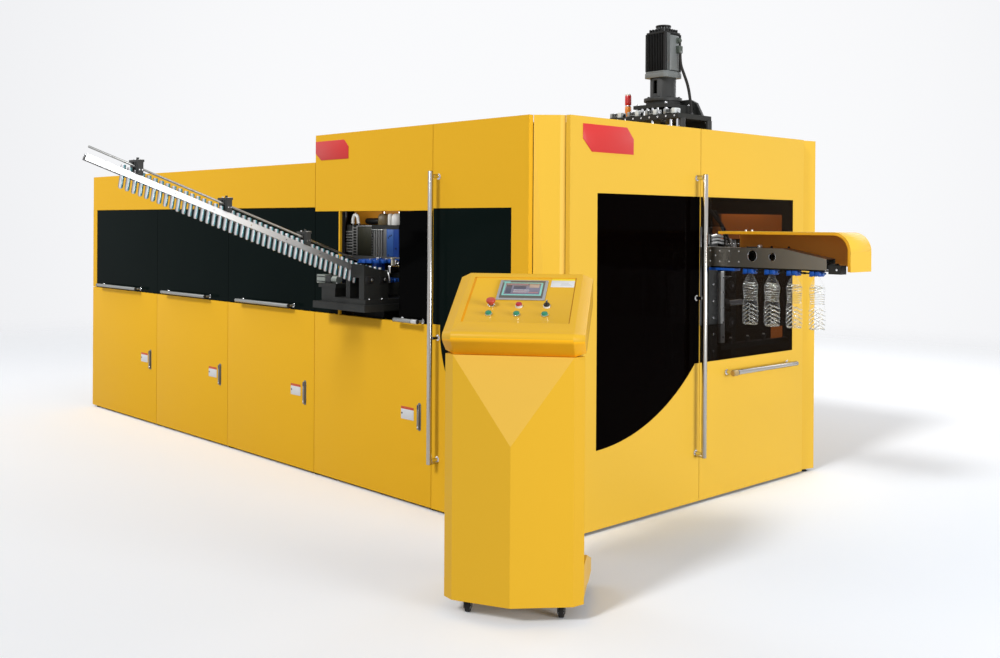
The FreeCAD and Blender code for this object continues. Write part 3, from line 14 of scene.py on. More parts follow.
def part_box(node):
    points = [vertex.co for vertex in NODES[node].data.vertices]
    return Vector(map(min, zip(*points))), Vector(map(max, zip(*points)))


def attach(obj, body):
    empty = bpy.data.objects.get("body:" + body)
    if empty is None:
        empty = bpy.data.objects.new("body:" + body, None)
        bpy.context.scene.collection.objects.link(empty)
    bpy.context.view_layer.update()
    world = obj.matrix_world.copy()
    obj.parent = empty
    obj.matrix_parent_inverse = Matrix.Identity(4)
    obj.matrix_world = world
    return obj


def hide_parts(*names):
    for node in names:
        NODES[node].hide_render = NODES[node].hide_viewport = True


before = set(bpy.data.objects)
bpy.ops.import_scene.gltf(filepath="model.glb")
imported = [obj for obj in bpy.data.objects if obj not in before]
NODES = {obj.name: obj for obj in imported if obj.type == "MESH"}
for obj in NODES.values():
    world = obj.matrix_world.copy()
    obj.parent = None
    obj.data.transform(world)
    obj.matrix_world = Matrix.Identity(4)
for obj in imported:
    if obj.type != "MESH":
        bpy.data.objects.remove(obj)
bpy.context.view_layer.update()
MM = 0.001


# ---------------------------------------------------------------- camera, light, floor
CAMERA_SPOT = Vector((6.0329, -4.2706, 1.612))
CAMERA_YAW, CAMERA_PITCH, CAMERA_ROLL = math.radians(46.673), math.radians(0.095), math.radians(0.35)
CAMERA_LENS, CAMERA_SENSOR, CAMERA_SHIFT = 38.6, 36.0, -0.103
CAMERA_NEAR, CAMERA_FAR = 0.1, 200
BACKDROP_CORNER, BACKDROP_MIDDLE = (0.84, (0.86, 0.865, 0.885)), (0.99, (0.955, 0.96, 0.975))
BACKDROP_HEART = Vector((-0.69, 0.72, 0.06)).normalized()
DOME_SIDES, DOME_TOP = (0.50, (1.0, 1.0, 1.0)), (0.90, (0.52, 0.53, 0.55))
AMBIENT = 0.66
FLOOR_SIZE = 40
FLOOR_FADE = (4.5, 13.0)
FLOOR_SEEN, FLOOR_BOUNCE = (0.95, 0.97, 1.0, 1), (0.33, 0.33, 0.34, 1)
# The floor is painted a little darker and bluer near the machine's end, to cancel the yellow light that
# bounces onto it.
FLOOR_COUNTER_TINT, COUNTER_TINT_SPOT, COUNTER_TINT_FADE = (0.88, 0.93, 1.0, 1), (2.8, 0.9, 0.0), (0.6, 3.2)


def add_object(name, data):
    thing = bpy.data.objects.new(name, data)
    bpy.context.scene.collection.objects.link(thing)
    return thing


def make_camera():
    data = bpy.data.cameras.new("camera")
    data.lens, data.sensor_width, data.shift_y = CAMERA_LENS, CAMERA_SENSOR, CAMERA_SHIFT
    data.clip_start, data.clip_end = CAMERA_NEAR, CAMERA_FAR
    yaw, pitch = CAMERA_YAW, CAMERA_PITCH
    forward = Vector((-math.sin(yaw) * math.cos(pitch), math.cos(yaw) * math.cos(pitch), -math.sin(pitch)))
    right = Vector((math.cos(yaw), math.sin(yaw), 0))
    up = right.cross(forward)
    turn, lean = math.cos(CAMERA_ROLL), math.sin(CAMERA_ROLL)
    right, up = right * turn + up * lean, up * turn - right * lean
    camera = add_object("camera", data)
    camera.matrix_world = Matrix.Translation(CAMERA_SPOT) @ Matrix((right, up,
                                                                    -forward)).transposed().to_4x4()
    bpy.context.scene.camera = camera


def area_light(name, spot, target, size, power):
    data = bpy.data.lights.new(name, "AREA")
    data.shape = "RECTANGLE"
    data.size, data.size_y = size
    data.energy = power
    lamp = add_object(name, data)
    lamp.location = spot
    lamp.rotation_euler = (Vector(target) - Vector(spot)).to_track_quat("-Z", "Y").to_euler()


def sun_light(name, towards_sun, strength, spread):
    """A far light: towards_sun points from the object to it, and spread is its width in degrees."""
    data = bpy.data.lights.new(name, "SUN")
    data.energy, data.angle = strength, math.radians(spread)
    add_object(name, data).rotation_euler = Vector(towards_sun).to_track_quat("Z", "Y").to_euler()


class Graph:
    """The node tree of a world or a material while it is wired up."""

    def __init__(self, owner, bare=True):
        owner.use_nodes = True
        self.nodes, self.links = owner.node_tree.nodes, owner.node_tree.links
        if bare:
            self.nodes.clear()

    def feed(self, node, inputs):
        """Give each named socket a number or colour, or wire a socket or a node's first output to it."""
        for socket, value in inputs.items():
            if isinstance(value, bpy.types.Node):
                value = value.outputs[0]
            if isinstance(value, bpy.types.NodeSocket):
                self.links.new(value, node.inputs[socket])
            else:
                node.inputs[socket].default_value = value

    def add(self, kind, inputs, **settings):
        node = self.nodes.new(f"ShaderNode{kind}")
        for name, value in settings.items():
            setattr(node, name, value)
        self.feed(node, inputs)
        return node

    def coordinates(self, kind):
        return self.add("TexCoord", {}).outputs[kind]

    def mix(self, share, first, second):
        """A colour between two, by share."""
        node = self.add("Mix", {"Factor": share, "A": first, "B": second}, data_type="RGBA")
        return node.outputs["Result"]

    def span(self, value, low, high):
        """0 to 1 with soft ends, while value goes from low to high."""
        return self.add("MapRange", {"Value": value, "From Min": low, "From Max": high},
                        interpolation_type="SMOOTHSTEP")

    def halved(self, value):
        """-1 to 1 made 0 to 1."""
        return self.add("Math", {0: value, 1: 0.5, 2: 0.5}, operation="MULTIPLY_ADD")

    def ramp(self, share, stops, interpolation="LINEAR"):
        node = self.add("ValToRGB", {0: share})
        node.color_ramp.interpolation = interpolation
        elements = node.color_ramp.elements
        while len(elements) < len(stops):
            elements.new(0.5)
        for element, (place, tone) in zip(elements, stops):
            element.position, element.color = place, (*tone, 1)
        return node

    def seen(self, unseen, shown):
        """One shader for matt light, and another for what the camera, metal and glass see."""
        path = self.add("LightPath", {})
        share = path.outputs["Is Camera Ray"]
        for ray in ("Is Glossy Ray", "Is Transmission Ray"):
            share = self.add("Math", {0: share, 1: path.outputs[ray]}, operation="MAXIMUM").outputs[0]
        return self.add("MixShader", {0: share, 1: unseen, 2: shown})


def make_world():
    """A pale even studio: the camera, metal and glass see the backdrop, and matt faces a soft dome."""
    world = bpy.data.worlds.new("studio")
    bpy.context.scene.world = world
    graph = Graph(world)
    way = graph.coordinates("Generated")
    heart = graph.add("VectorMath", {0: way, 1: BACKDROP_HEART}, operation="DOT_PRODUCT").outputs["Value"]
    backdrop = graph.add("Background", {0: graph.ramp(heart, [BACKDROP_CORNER, BACKDROP_MIDDLE], "EASE")})
    height = graph.halved(graph.add("SeparateXYZ", {0: way}).outputs["Z"])
    dome = graph.add("Background", {0: graph.ramp(height, [DOME_SIDES, DOME_TOP]), "Strength": AMBIENT})
    graph.add("OutputWorld", {0: graph.seen(dome, backdrop)})


def make_floor():
    """A pale floor that fades into the backdrop with its distance from the machine, painted a little darker
    and bluer near the machine's end to cancel the yellow light that bounces onto it.
    """
    bm = bmesh.new()
    bmesh.ops.create_grid(bm, x_segments=2, y_segments=2, size=FLOOR_SIZE)
    mesh = bpy.data.meshes.new("studio_floor")
    bm.to_mesh(mesh)
    bm.free()
    material = bpy.data.materials.new("studio_floor")
    graph = Graph(material)
    place = graph.coordinates("Object")
    gap = graph.add("VectorMath", {0: place, 1: COUNTER_TINT_SPOT}, operation="DISTANCE").outputs["Value"]
    pale = graph.add("BsdfDiffuse", {"Color": graph.mix(graph.span(gap, *COUNTER_TINT_FADE), FLOOR_COUNTER_TINT, FLOOR_SEEN)})
    shown = graph.seen(graph.add("BsdfDiffuse", {"Color": FLOOR_BOUNCE}), pale)
    away = graph.add("VectorMath", {0: place}, operation="LENGTH").outputs["Value"]
    nothing = graph.add("BsdfTransparent", {})
    faded = graph.add("MixShader", {0: graph.span(away, *FLOOR_FADE), 1: shown, 2: nothing})
    graph.add("OutputMaterial", {0: faded})
    mesh.materials.append(material)
    floor = add_object("studio_floor", mesh)


bpy.context.scene.view_settings.view_transform = "Standard"
make_camera()
make_world()
make_floor()
sun_light("front_sun", (0.10, -1.0, 0.80), 1.66, 11)
for lamp in (("key_right", (12.8, 0.6, 1.9), (2.3, 0.9, 1.1), (5, 3), 745),
             ("floor_wash", (-4.0, -2.7, 5.6), (-4.0, -2.4, 0.0), (6, 2.4), 95),
             ("back_soft", (0.0, 8.0, 5.0), (0.0, 1.0, 1.2), (7, 4), 200),
             ("opening_glow", (0.32, -0.24, 1.72), (0.32, 0.06, 1.36), (0.62, 0.12), 1.15),
             ("clamp_glow", (2.10, 1.45, 2.05), (2.05, 1.25, 1.1), (0.30, 0.40), 9),
             ("bay_glow", (2.288, 1.42, 1.50), (2.235, 1.30, 1.08), (0.60, 0.04), 3.0)):
    area_light(*lamp)


# ---------------------------------------------------------------- materials
ROUGH_SPREAD, BUMP_DEPTH, COAT_ROUGHNESS = 0.18, 0.0006, 0.08
# The second and third tones are copies of the first: a paler one as painted light for the ends, and a darker
# one as painted shade for the console.
YELLOW_TONE, END_LIT_TONE, CONSOLE_SHADED_TONE = (0.82, 0.450, 0.022), (0.80, 0.490, 0.045), (0.714, 0.408, 0.024)


def finish(name, colour, roughness, mottle, grain, metallic=0.0, specular=0.5, coat=0.0, alpha=1.0,
           brushed=(1, 1, 1), glow=0.0):
    """A Principled finish. mottle and grain are the scale and strength of its soft tones and its fine bump.

    brushed is how far the grain is squeezed along each axis, for drawn metal. glow lights it in its colour.
    """
    material = bpy.data.materials.new(name)
    graph = Graph(material, bare=False)
    place = graph.coordinates("Object")
    cloud = graph.add("TexNoise", {"Scale": mottle[0], "Detail": 4, "Vector": place})
    darker, lighter = [(*[min(1, tone * change) for tone in colour], 1) for change in (1 - mottle[1],
                                                                                       1 + mottle[1])]
    squeezed = graph.add("Mapping", {"Scale": brushed, "Vector": place})
    fine = graph.add("TexNoise", {"Scale": grain[0], "Detail": 3, "Vector": squeezed})
    rough = graph.add("MapRange", {"Value": fine, "To Min": roughness * (1 - ROUGH_SPREAD),
                                   "To Max": min(1.0, roughness * (1 + ROUGH_SPREAD))})
    bump = graph.add("Bump", {"Strength": grain[1], "Distance": BUMP_DEPTH, "Height": fine})
    graph.feed(graph.nodes["Principled BSDF"], {"Base Color": graph.mix(cloud, darker, lighter),
                                                "Roughness": rough, "Normal": bump, "Metallic": metallic,
                                                "Coat Weight": coat, "Coat Roughness": COAT_ROUGHNESS,
                                                "Specular IOR Level": specular, "Alpha": alpha,
                                                "Emission Color": (*colour, 1), "Emission Strength": glow})
    return material


# Painted light on clear plastic: the way across the view, and the painted shade and painted cyan light at its
# two ends.
PAINTED_LIGHT_WAY = (0.69, 0.72, 0.0)
PAINTED_SHADE_FLANK = [(0.0, (0.03, 0.03, 0.03)), (0.18, (0.07, 0.065, 0.065))]
PAINTED_CYAN_FLANK = [(0.76, (0.14, 0.46, 0.52)), (1.0, (0.01, 0.06, 0.08))]


def clear(name, colour, face_alpha, edge_alpha, roughness, blend=0.35, specular=0.9, painted_side_light=False):
    """Thin clear plastic: nearly open where it faces the eye and milky at its edges.

    Its side option paints light and shade into the colour by the way each face points: painted shade on one
    flank, a pale painted highlight in the middle and painted cyan light on the other.
    """
    material = finish(name, colour, roughness, (9.0, 0.02), (60, 0.02), alpha=face_alpha, specular=specular)
    graph = Graph(material, bare=False)
    facing = graph.add("LayerWeight", {"Blend": blend}).outputs["Facing"]
    look = {"Alpha": graph.add("MapRange", {"Value": facing, "To Min": face_alpha, "To Max": edge_alpha})}
    if painted_side_light:
        normal = graph.add("NewGeometry", {}).outputs["Normal"]
        across = graph.add("VectorMath", {0: normal, 1: PAINTED_LIGHT_WAY}, operation="DOT_PRODUCT").outputs["Value"]
        stops = PAINTED_SHADE_FLANK + [(0.30, colour), (0.62, colour)] + PAINTED_CYAN_FLANK
        look["Base Color"] = graph.ramp(graph.halved(across), stops)
    graph.feed(graph.nodes["Principled BSDF"], look)
    return material


yellow = finish("yellow_powder_coat", YELLOW_TONE, 0.50, (1.3, 0.02), (420, 0.05), specular=0.05)
# A paler copy of the yellow for the ends and the hood: painted light on the brighter end faces.
end_lit_yellow = finish("end_lit_yellow_coat", END_LIT_TONE, 0.44, (1.3, 0.02), (420, 0.05), specular=0.24)
# A darker copy of the yellow for the console: painted shade to even out the extra light it gets.
console_shaded_yellow = finish("console_shaded_yellow_coat", CONSOLE_SHADED_TONE, 0.36, (1.3, 0.02), (420, 0.05), specular=0.15)
# A brighter orange copy of the yellow for the desk nose's downward faces: painted light where shade falls.
console_under_painted_light = finish("console_under_painted_light_coat", (0.95, 0.47, 0.014), 0.42, (1.3, 0.02), (420, 0.05),
                       specular=0.12)
# A lighter, creamier copy of the console yellow for the column's upward facet: painted highlight.
facet_painted_highlight = finish("facet_painted_highlight_coat", (0.72, 0.435, 0.060), 0.50, (3, 0.03), (140, 0.25), specular=0.15)
# A brown-orange copy of the yellow for the hood's inner faces: painted shade.
hood_painted_shade = finish("hood_painted_shade", (0.68, 0.285, 0.050), 0.55, (3, 0.08), (300, 0.06), specular=0.15)
# Near-black for inside faces of the cabinet: painted shade.
inner_painted_shade = finish("inner_painted_shade", (0.040, 0.032, 0.025), 0.6, (3, 0.1), (200, 0.1), specular=0.15)
# A dark orange copy of the yellow for the housing behind the infeed works: painted shade.
housing_painted_shade = finish("housing_painted_shade", (0.50, 0.20, 0.012), 0.5, (6, 0.12), (260, 0.06), specular=0.2)
flap_glass = finish("flap_glass", (0.0040, 0.0078, 0.0072), 0.14, (1.2, 0.25), (8, 0.004), specular=0.008)
black_glass = finish("black_glass", (0.0012, 0.0012, 0.0012), 0.12, (1.2, 0.2), (8, 0.004), specular=0.01)
door_glass = finish("door_glass", (0.0012, 0.0006, 0.0005), 0.06, (2, 0.1), (8, 0.004), specular=0.006,
                    alpha=0.95)
clear_glass = finish("clear_smoked_glass", (0.007, 0.004, 0.002), 0.06, (2, 0.1), (8, 0.004), specular=0.010,
                     alpha=0.50)
stainless = finish("stainless_tube", (0.46, 0.44, 0.41), 0.22, (6, 0.04), (140, 0.03), 1.0,
                   brushed=(6, 6, 0.15))
beam_steel = finish("beam_steel", (0.23, 0.22, 0.195), 0.38, (7, 0.10), (160, 0.10), 0.9, brushed=(0.1, 6, 6))
machined = finish("machined_steel", (0.36, 0.36, 0.35), 0.33, (8, 0.08), (200, 0.08), 1.0,
                  brushed=(4, 0.3, 4))
pale_steel = finish("pale_steel", (0.60, 0.60, 0.59), 0.38, (10, 0.05), (240, 0.08), 0.85)
chrome = finish("chrome", (0.70, 0.70, 0.71), 0.10, (12, 0.02), (200, 0.01), 1.0)
aluminium = finish("rail_aluminium", (0.46, 0.465, 0.47), 0.34, (7, 0.06), (220, 0.07), 1.0,
                   brushed=(4, 0.15, 4))
mould_metal = finish("mould_aluminium", (0.40, 0.40, 0.41), 0.30, (10, 0.06), (260, 0.05), 1.0)
latch_grey = finish("latch_zinc", (0.20, 0.205, 0.215), 0.36, (16, 0.08), (240, 0.08), 0.7)
black_cast = finish("black_casting", (0.018, 0.019, 0.0175), 0.60, (14, 0.25), (260, 0.35), specular=0.25)
grey_cast = finish("grey_bracket", (0.026, 0.027, 0.0265), 0.52, (12, 0.2), (240, 0.25), specular=0.3)
rib_grey = finish("rib_grey", (0.24, 0.24, 0.23), 0.45, (12, 0.15), (240, 0.12), specular=0.4)
motor_black = finish("motor_black", (0.0075, 0.0078, 0.0075), 0.48, (20, 0.2), (280, 0.15), specular=0.25)
# A lighter grey copy of the motor's black for its flange, right-hand panel, rib lines and encoder fins:
# painted sheen.
motor_painted_sheen = finish("motor_painted_sheen", (0.155, 0.168, 0.168), 0.42, (14, 0.15), (280, 0.12), specular=0.4)
plug_green = finish("plug_green", (0.050, 0.065, 0.052), 0.42, (20, 0.12), (240, 0.12), specular=0.5)
black_plastic = finish("black_plastic", (0.014, 0.014, 0.015), 0.42, (20, 0.15), (240, 0.12), specular=0.4)
fork_dark = finish("fork_dark", (0.10, 0.10, 0.10), 0.36, (14, 0.15), (240, 0.10), 0.6)
wheel_pale = finish("wheel_pale", (0.50, 0.50, 0.48), 0.40, (20, 0.08), (220, 0.10))
rubber = finish("black_rubber", (0.018, 0.017, 0.016), 0.72, (25, 0.25), (260, 0.25), specular=0.25)
olive_panel = finish("olive_panel", (0.032, 0.032, 0.020), 0.5, (16, 0.2), (200, 0.15), specular=0.4)
# A brown copy of the inner yellow for the cover at the top of the infeed works: painted shade.
cover_painted_shade = finish("cover_painted_shade", (0.115, 0.085, 0.040), 0.40, (16, 0.15), (200, 0.12), specular=0.4)
end_brown = finish("end_brown", (0.055, 0.040, 0.030), 0.45, (16, 0.2), (200, 0.12))
end_dark = finish("end_dark", (0.030, 0.030, 0.030), 0.45, (16, 0.2), (200, 0.12))
bar_grey = finish("bar_grey", (0.30, 0.31, 0.30), 0.40, (8, 0.06), (180, 0.05), 0.5, brushed=(0.15, 6, 6))
blue = finish("blue_plastic", (0.010, 0.088, 0.43), 0.36, (18, 0.12), (220, 0.10), specular=0.3)
blue_light = finish("blue_light", (0.10, 0.26, 0.66), 0.34, (18, 0.10), (220, 0.08))
works_blue = finish("works_blue", (0.020, 0.075, 0.34), 0.42, (18, 0.15), (220, 0.10))
works_blue_light = finish("works_blue_light", (0.050, 0.14, 0.42), 0.40, (18, 0.12), (220, 0.10))
dark_blue = finish("dark_blue", (0.014, 0.022, 0.070), 0.34, (18, 0.12), (220, 0.08))
frame_grey = finish("frame_grey", (0.10, 0.10, 0.105), 0.5, (6, 0.12), (260, 0.12))
red_plate = finish("red_plate", (0.64, 0.026, 0.024), 0.36, (5, 0.04), (300, 0.03), specular=0.35, coat=0.1)
red_plastic = finish("red_plastic", (0.46, 0.050, 0.028), 0.34, (30, 0.06), (200, 0.03), specular=0.4,
                     coat=0.1)
crimson = finish("crimson_plastic", (0.40, 0.010, 0.030), 0.34, (30, 0.06), (200, 0.03), specular=0.4,
                 coat=0.1)
orange_lens = finish("orange_lens", (0.80, 0.24, 0.01), 0.28, (30, 0.08), (120, 0.05), coat=0.2)
red_lens = finish("red_lens", (0.60, 0.010, 0.012), 0.28, (30, 0.08), (120, 0.05), coat=0.2)
green_plastic = finish("green_plastic", (0.004, 0.20, 0.105), 0.32, (30, 0.08), (200, 0.03), coat=0.1)
green_pale = finish("green_pale", (0.24, 0.52, 0.40), 0.40, (30, 0.06), (200, 0.04))
white_plastic = finish("white_plastic", (0.72, 0.71, 0.67), 0.42, (20, 0.04), (200, 0.05), specular=0.3)
label_white = finish("label_white", (0.66, 0.67, 0.68), 0.5, (25, 0.03), (300, 0.03), specular=0.3)
label_orange = finish("label_orange", (0.56, 0.085, 0.03), 0.5, (25, 0.04), (300, 0.03), specular=0.3)
label_yellow = finish("label_yellow", (0.80, 0.60, 0.02), 0.5, (25, 0.04), (300, 0.03), specular=0.3)
label_grey = finish("label_grey", (0.30, 0.30, 0.31), 0.5, (25, 0.04), (300, 0.03))
# Orange and darker copies of the yellow for the recess's edges on the desk: painted shade.
recess_painted_shade = finish("recess_painted_shade", (0.72, 0.30, 0.006), 0.5, (10, 0.06), (300, 0.03), specular=0.1)
recess_deep_painted_shade = finish("recess_deep_painted_shade", (0.40, 0.17, 0.008), 0.5, (10, 0.06), (300, 0.03), specular=0.1)
bezel_grey = finish("bezel_grey", (0.30, 0.31, 0.32), 0.42, (20, 0.05), (260, 0.06))
screen_frame = finish("screen_frame", (0.085, 0.080, 0.065), 0.45, (20, 0.08), (260, 0.05))
screen_dark = finish("screen_dark", (0.15, 0.135, 0.19), 0.20, (26, 0.20), (120, 0.0), coat=0.3)
screen_field = finish("screen_field", (0.055, 0.055, 0.085), 0.25, (40, 0.2), (120, 0.0))
screen_rose = finish("screen_rose", (0.40, 0.16, 0.17), 0.3, (40, 0.1), (120, 0.0))
screen_glow = finish("screen_glow", (0.42, 0.30, 0.22), 0.3, (40, 0.15), (120, 0.0))
screen_cyan = finish("screen_cyan", (0.20, 0.52, 0.46), 0.3, (30, 0.05), (120, 0.02))
cream = finish("cream_plastic", (0.58, 0.55, 0.44), 0.45, (30, 0.08), (220, 0.08))
# The preforms get painted shade, a painted highlight and painted cyan light by the way their faces point.
preform_clear = clear("preform_pet", (0.97, 0.92, 0.96), 0.82, 0.95, 0.12, painted_side_light=True)
bottle_clear = clear("bottle_pet", (0.86, 0.90, 0.92), 0.008, 0.50, 0.06, blend=0.10, specular=0.30)
bottle_line = finish("bottle_rib", (0.66, 0.70, 0.70), 0.08, (30, 0.02), (60, 0.01), specular=0.8)
bottle_graph = Graph(bottle_line, bare=False)
bottle_graph.feed(bottle_graph.nodes["Principled BSDF"], {"Transmission Weight": 1.0, "IOR": 1.5})
cylinder_grey = finish("cylinder_grey", (0.26, 0.29, 0.26), 0.42, (14, 0.12), (240, 0.10), 0.3)
brass_tan = finish("brass_tan", (0.48, 0.34, 0.15), 0.34, (14, 0.08), (240, 0.06), 0.7)
# A brown sheet that glows as painted light behind the right pane, and a darker copy of it as painted shade.
painted_glow_brown = finish("painted_glow_brown", (0.42, 0.12, 0.026), 0.55, (3, 0.1), (200, 0.05), specular=0.15, glow=0.75)
shade_brown = finish("shade_brown", (0.16, 0.055, 0.014), 0.55, (3, 0.1), (200, 0.05), specular=0.15)
# An orange copy of the yellow for the hood's lip: painted shade on its edge.
lip_painted_shade = finish("lip_painted_shade", (0.78, 0.38, 0.016), 0.45, (3, 0.03), (300, 0.05), specular=0.2)
valve_silver = finish("valve_silver", (0.30, 0.31, 0.30), 0.34, (14, 0.08), (240, 0.06), 0.7)
cap_white = finish("cap_white", (0.62, 0.66, 0.66), 0.35, (14, 0.06), (240, 0.05), specular=0.4)


# ---------------------------------------------------------------- mesh building
WAYS = {"x": (1, 0, 0), "y": (0, 1, 0), "z": (0, 0, 1), "-x": (-1, 0, 0), "-y": (0, -1, 0), "-z": (0, 0, -1)}


def basis(axis):
    """A rotation that turns +Z to the given direction, or to a named one such as "-y"."""
    way = Vector(WAYS[axis] if isinstance(axis, str) else axis).normalized()
    return Vector((0, 0, 1)).rotation_difference(way).to_matrix().to_4x4()


def polar(radius, degrees, middle=(0, 0)):
    """The point at a radius and a turn around the middle."""
    turn = math.radians(degrees)
    return middle[0] + radius * math.cos(turn), middle[1] + radius * math.sin(turn)


def arc(radius, start, end, steps, middle=(0, 0)):
    """Points of an arc between two turns in degrees."""
    return [polar(radius, start + (end - start) * k / steps, middle) for k in range(steps + 1)]


def turn_about(axis, degrees):
    return Matrix.Rotation(math.radians(degrees), 4, axis)


def ends(start, end):
    """Both ends of a line. end is a point, or the axis and the coordinate that a line from start goes to."""
    if len(end) == 2:
        place = list(start)
        place["xyz".index(end[0])] = end[1]
        end = place
    return Vector(start), Vector(end)


def soften(part, edges, width, segments):
    bmesh.ops.bevel(part, geom=edges, offset=width, segments=segments, affect="EDGES", profile=0.5,
                    clamp_overlap=True)


def skin(part, rings):
    """Faces between rings of points. A ring of one point closes the form."""
    for lower, upper in zip(rings, rings[1:]):
        for k in range(max(len(lower), len(upper))):
            n = (k + 1) % max(len(lower), len(upper))
            if len(lower) == 1 and len(upper) > 1:
                part.faces.new((lower[0], upper[n], upper[k]))
            elif len(upper) == 1 and len(lower) > 1:
                part.faces.new((lower[k], lower[n], upper[0]))
            elif len(lower) > 1:
                part.faces.new((lower[k], lower[n], upper[n], upper[k]))


class Shape:
    """One piece of the machine, made of bevelled primitives in millimetres. m is a primitive's material."""

    def __init__(self, name, body, materials, home=None):
        self.name, self.body, self.materials = name, body, materials
        self.home = home or Matrix.Identity(4)
        self.bm = bmesh.new()

    def add(self, part, material=0, matrix=None):
        for face in part.faces:
            face.material_index = material
        part.transform(matrix or Matrix.Identity(4))
        mesh = bpy.data.meshes.new("part")
        part.to_mesh(mesh)
        part.free()
        self.bm.from_mesh(mesh)
        bpy.data.meshes.remove(mesh)

    def box(self, low, high, m=0, bevel=1.0, segments=2, matrix=None):
        part = bmesh.new()
        bmesh.ops.create_cube(part, size=1)
        size = [b - a for a, b in zip(low, high)]
        middle = [(b + a) / 2 for a, b in zip(low, high)]
        part.transform(Matrix.Translation(middle) @ Matrix.Diagonal((*size, 1)))
        width = min(bevel, min(abs(side) for side in size) * 0.45)
        if width > 0.05:
            bmesh.ops.bevel(part, geom=part.edges[:], offset=width, segments=segments, affect="EDGES",
                            profile=0.5)
        self.add(part, m, matrix)

    def lathe(self, profile, m=0, at=(0, 0, 0), axis="z", sides=32, matrix=None):
        """A full turn of (radius, height) points about axis."""
        part = bmesh.new()
        rings = []
        for radius, height in profile:
            count = sides if radius else 1
            rings.append([part.verts.new((*polar(radius, 360 * k / sides), height)) for k in range(count)])
        skin(part, rings)
        bmesh.ops.recalc_face_normals(part, faces=part.faces[:])
        self.add(part, m, (matrix or Matrix.Identity(4)) @ Matrix.Translation(at) @ basis(axis))

    def rod(self, start, end, radius, m=0, sides=28, bevel=0.8, matrix=None):
        """A round bar, its ends broken by a small chamfer."""
        start, end = ends(start, end)
        length = (end - start).length
        b = min(bevel, radius * 0.4, length * 0.4)
        profile = [(0, 0), (radius - b, 0), (radius, b), (radius, length - b), (radius - b, length),
                   (0, length)]
        self.lathe(profile, m, start, end - start, sides, matrix)

    def ring(self, start, end, outer, inner, m=0, sides=32, bevel=0.6, matrix=None):
        start, end = ends(start, end)
        length = (end - start).length
        b = min(bevel, (outer - inner) * 0.3, length * 0.3)
        profile = [(inner, b), (inner + b, 0), (outer - b, 0), (outer, b), (outer, length - b),
                   (outer - b, length), (inner + b, length), (inner, length - b), (inner, b)]
        self.lathe(profile, m, start, end - start, sides, matrix)

    def prism(self, outline, plane, low, high, m=0, bevel=1.0, segments=2, matrix=None):
        """An outline pushed from low to high. plane is the two axes the outline is given in, such as "xz"."""
        part = bmesh.new()
        across = ["xyz".index(letter) for letter in plane]
        rings = []
        for depth in (low, high):
            spots = [[depth] * 3 for _ in outline]
            for spot, (u, v) in zip(spots, outline):
                spot[across[0]], spot[across[1]] = u, v
            rings.append([part.verts.new(spot) for spot in spots])
        part.faces.new(rings[0])
        part.faces.new(rings[1][::-1])
        skin(part, rings)
        bmesh.ops.recalc_face_normals(part, faces=part.faces[:])
        if bevel > 0.05:
            soften(part, [edge for edge in part.edges if edge.calc_face_angle(0) > 0.5], bevel, segments)
        self.add(part, m, matrix)

    def sweep(self, points, radius, m=0, sides=14, steps=8):
        """A tube along a smooth line through the points."""
        points = [Vector(point) for point in points]
        line = []
        padded = [points[0] * 2 - points[1]] + points + [points[-1] * 2 - points[-2]]
        for a, b, c, d in zip(padded, padded[1:], padded[2:], padded[3:]):
            for k in range(steps):
                t = k / steps
                line.append(0.5 * ((2 * b) + (c - a) * t + (2 * a - 5 * b + 4 * c - d) * t * t
                                   + (3 * b - a - 3 * c + d) * t ** 3))
        line.append(points[-1])
        part = bmesh.new()
        rings = []
        normal = (line[1] - line[0]).normalized().orthogonal().normalized()
        turns = [polar(1, 360 * k / sides) for k in range(sides)]
        for i, spot in enumerate(line):
            ahead = (line[min(i + 1, len(line) - 1)] - line[max(i - 1, 0)]).normalized()
            normal = (normal - ahead * normal.dot(ahead)).normalized()
            side = ahead.cross(normal)
            rings.append([part.verts.new(spot + (normal * u + side * v) * radius) for u, v in turns])
        skin(part, rings)
        part.faces.new(rings[0][::-1])
        part.faces.new(rings[-1])
        bmesh.ops.recalc_face_normals(part, faces=part.faces[:])
        self.add(part, m)

    def bolt(self, at, axis, head, height, m=0):
        """A hexagon bolt on its washer."""
        self.lathe([(0, 0), (head * 1.05, 0), (head * 1.05, height * 0.2), (0, height * 0.2)], m, at, axis,
                   20)
        self.lathe([(0, height * 0.2), (head * 0.86, height * 0.2), (head * 0.86, height * 0.86),
                    (head * 0.74, height), (0, height)], m, at, axis, 6)

    def screw(self, at, axis, head, height, m=0, matrix=None):
        """A socket cap screw."""
        self.lathe([(0, 0), (head, 0), (head, height * 0.85), (head * 0.9, height), (head * 0.52, height),
                    (head * 0.5, height * 0.45), (0, height * 0.45)], m, at, axis, 20, matrix)

    def done(self, replaces=None, smooth=38.0):
        """Make the object, in metres, on its body."""
        mesh = bpy.data.meshes.new(self.name)
        self.bm.transform(Matrix.Diagonal((MM, MM, MM, 1)) @ self.home)
        self.bm.to_mesh(mesh)
        self.bm.free()
        for material in self.materials:
            mesh.materials.append(material)
        mesh.shade_smooth()
        mesh.set_sharp_from_angle(angle=math.radians(smooth))
        piece = add_object(self.name, mesh)
        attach(piece, self.body)
        if replaces:
            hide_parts(replaces)


WELD_GAP, BEVEL_ANGLE = 0.00002, 30


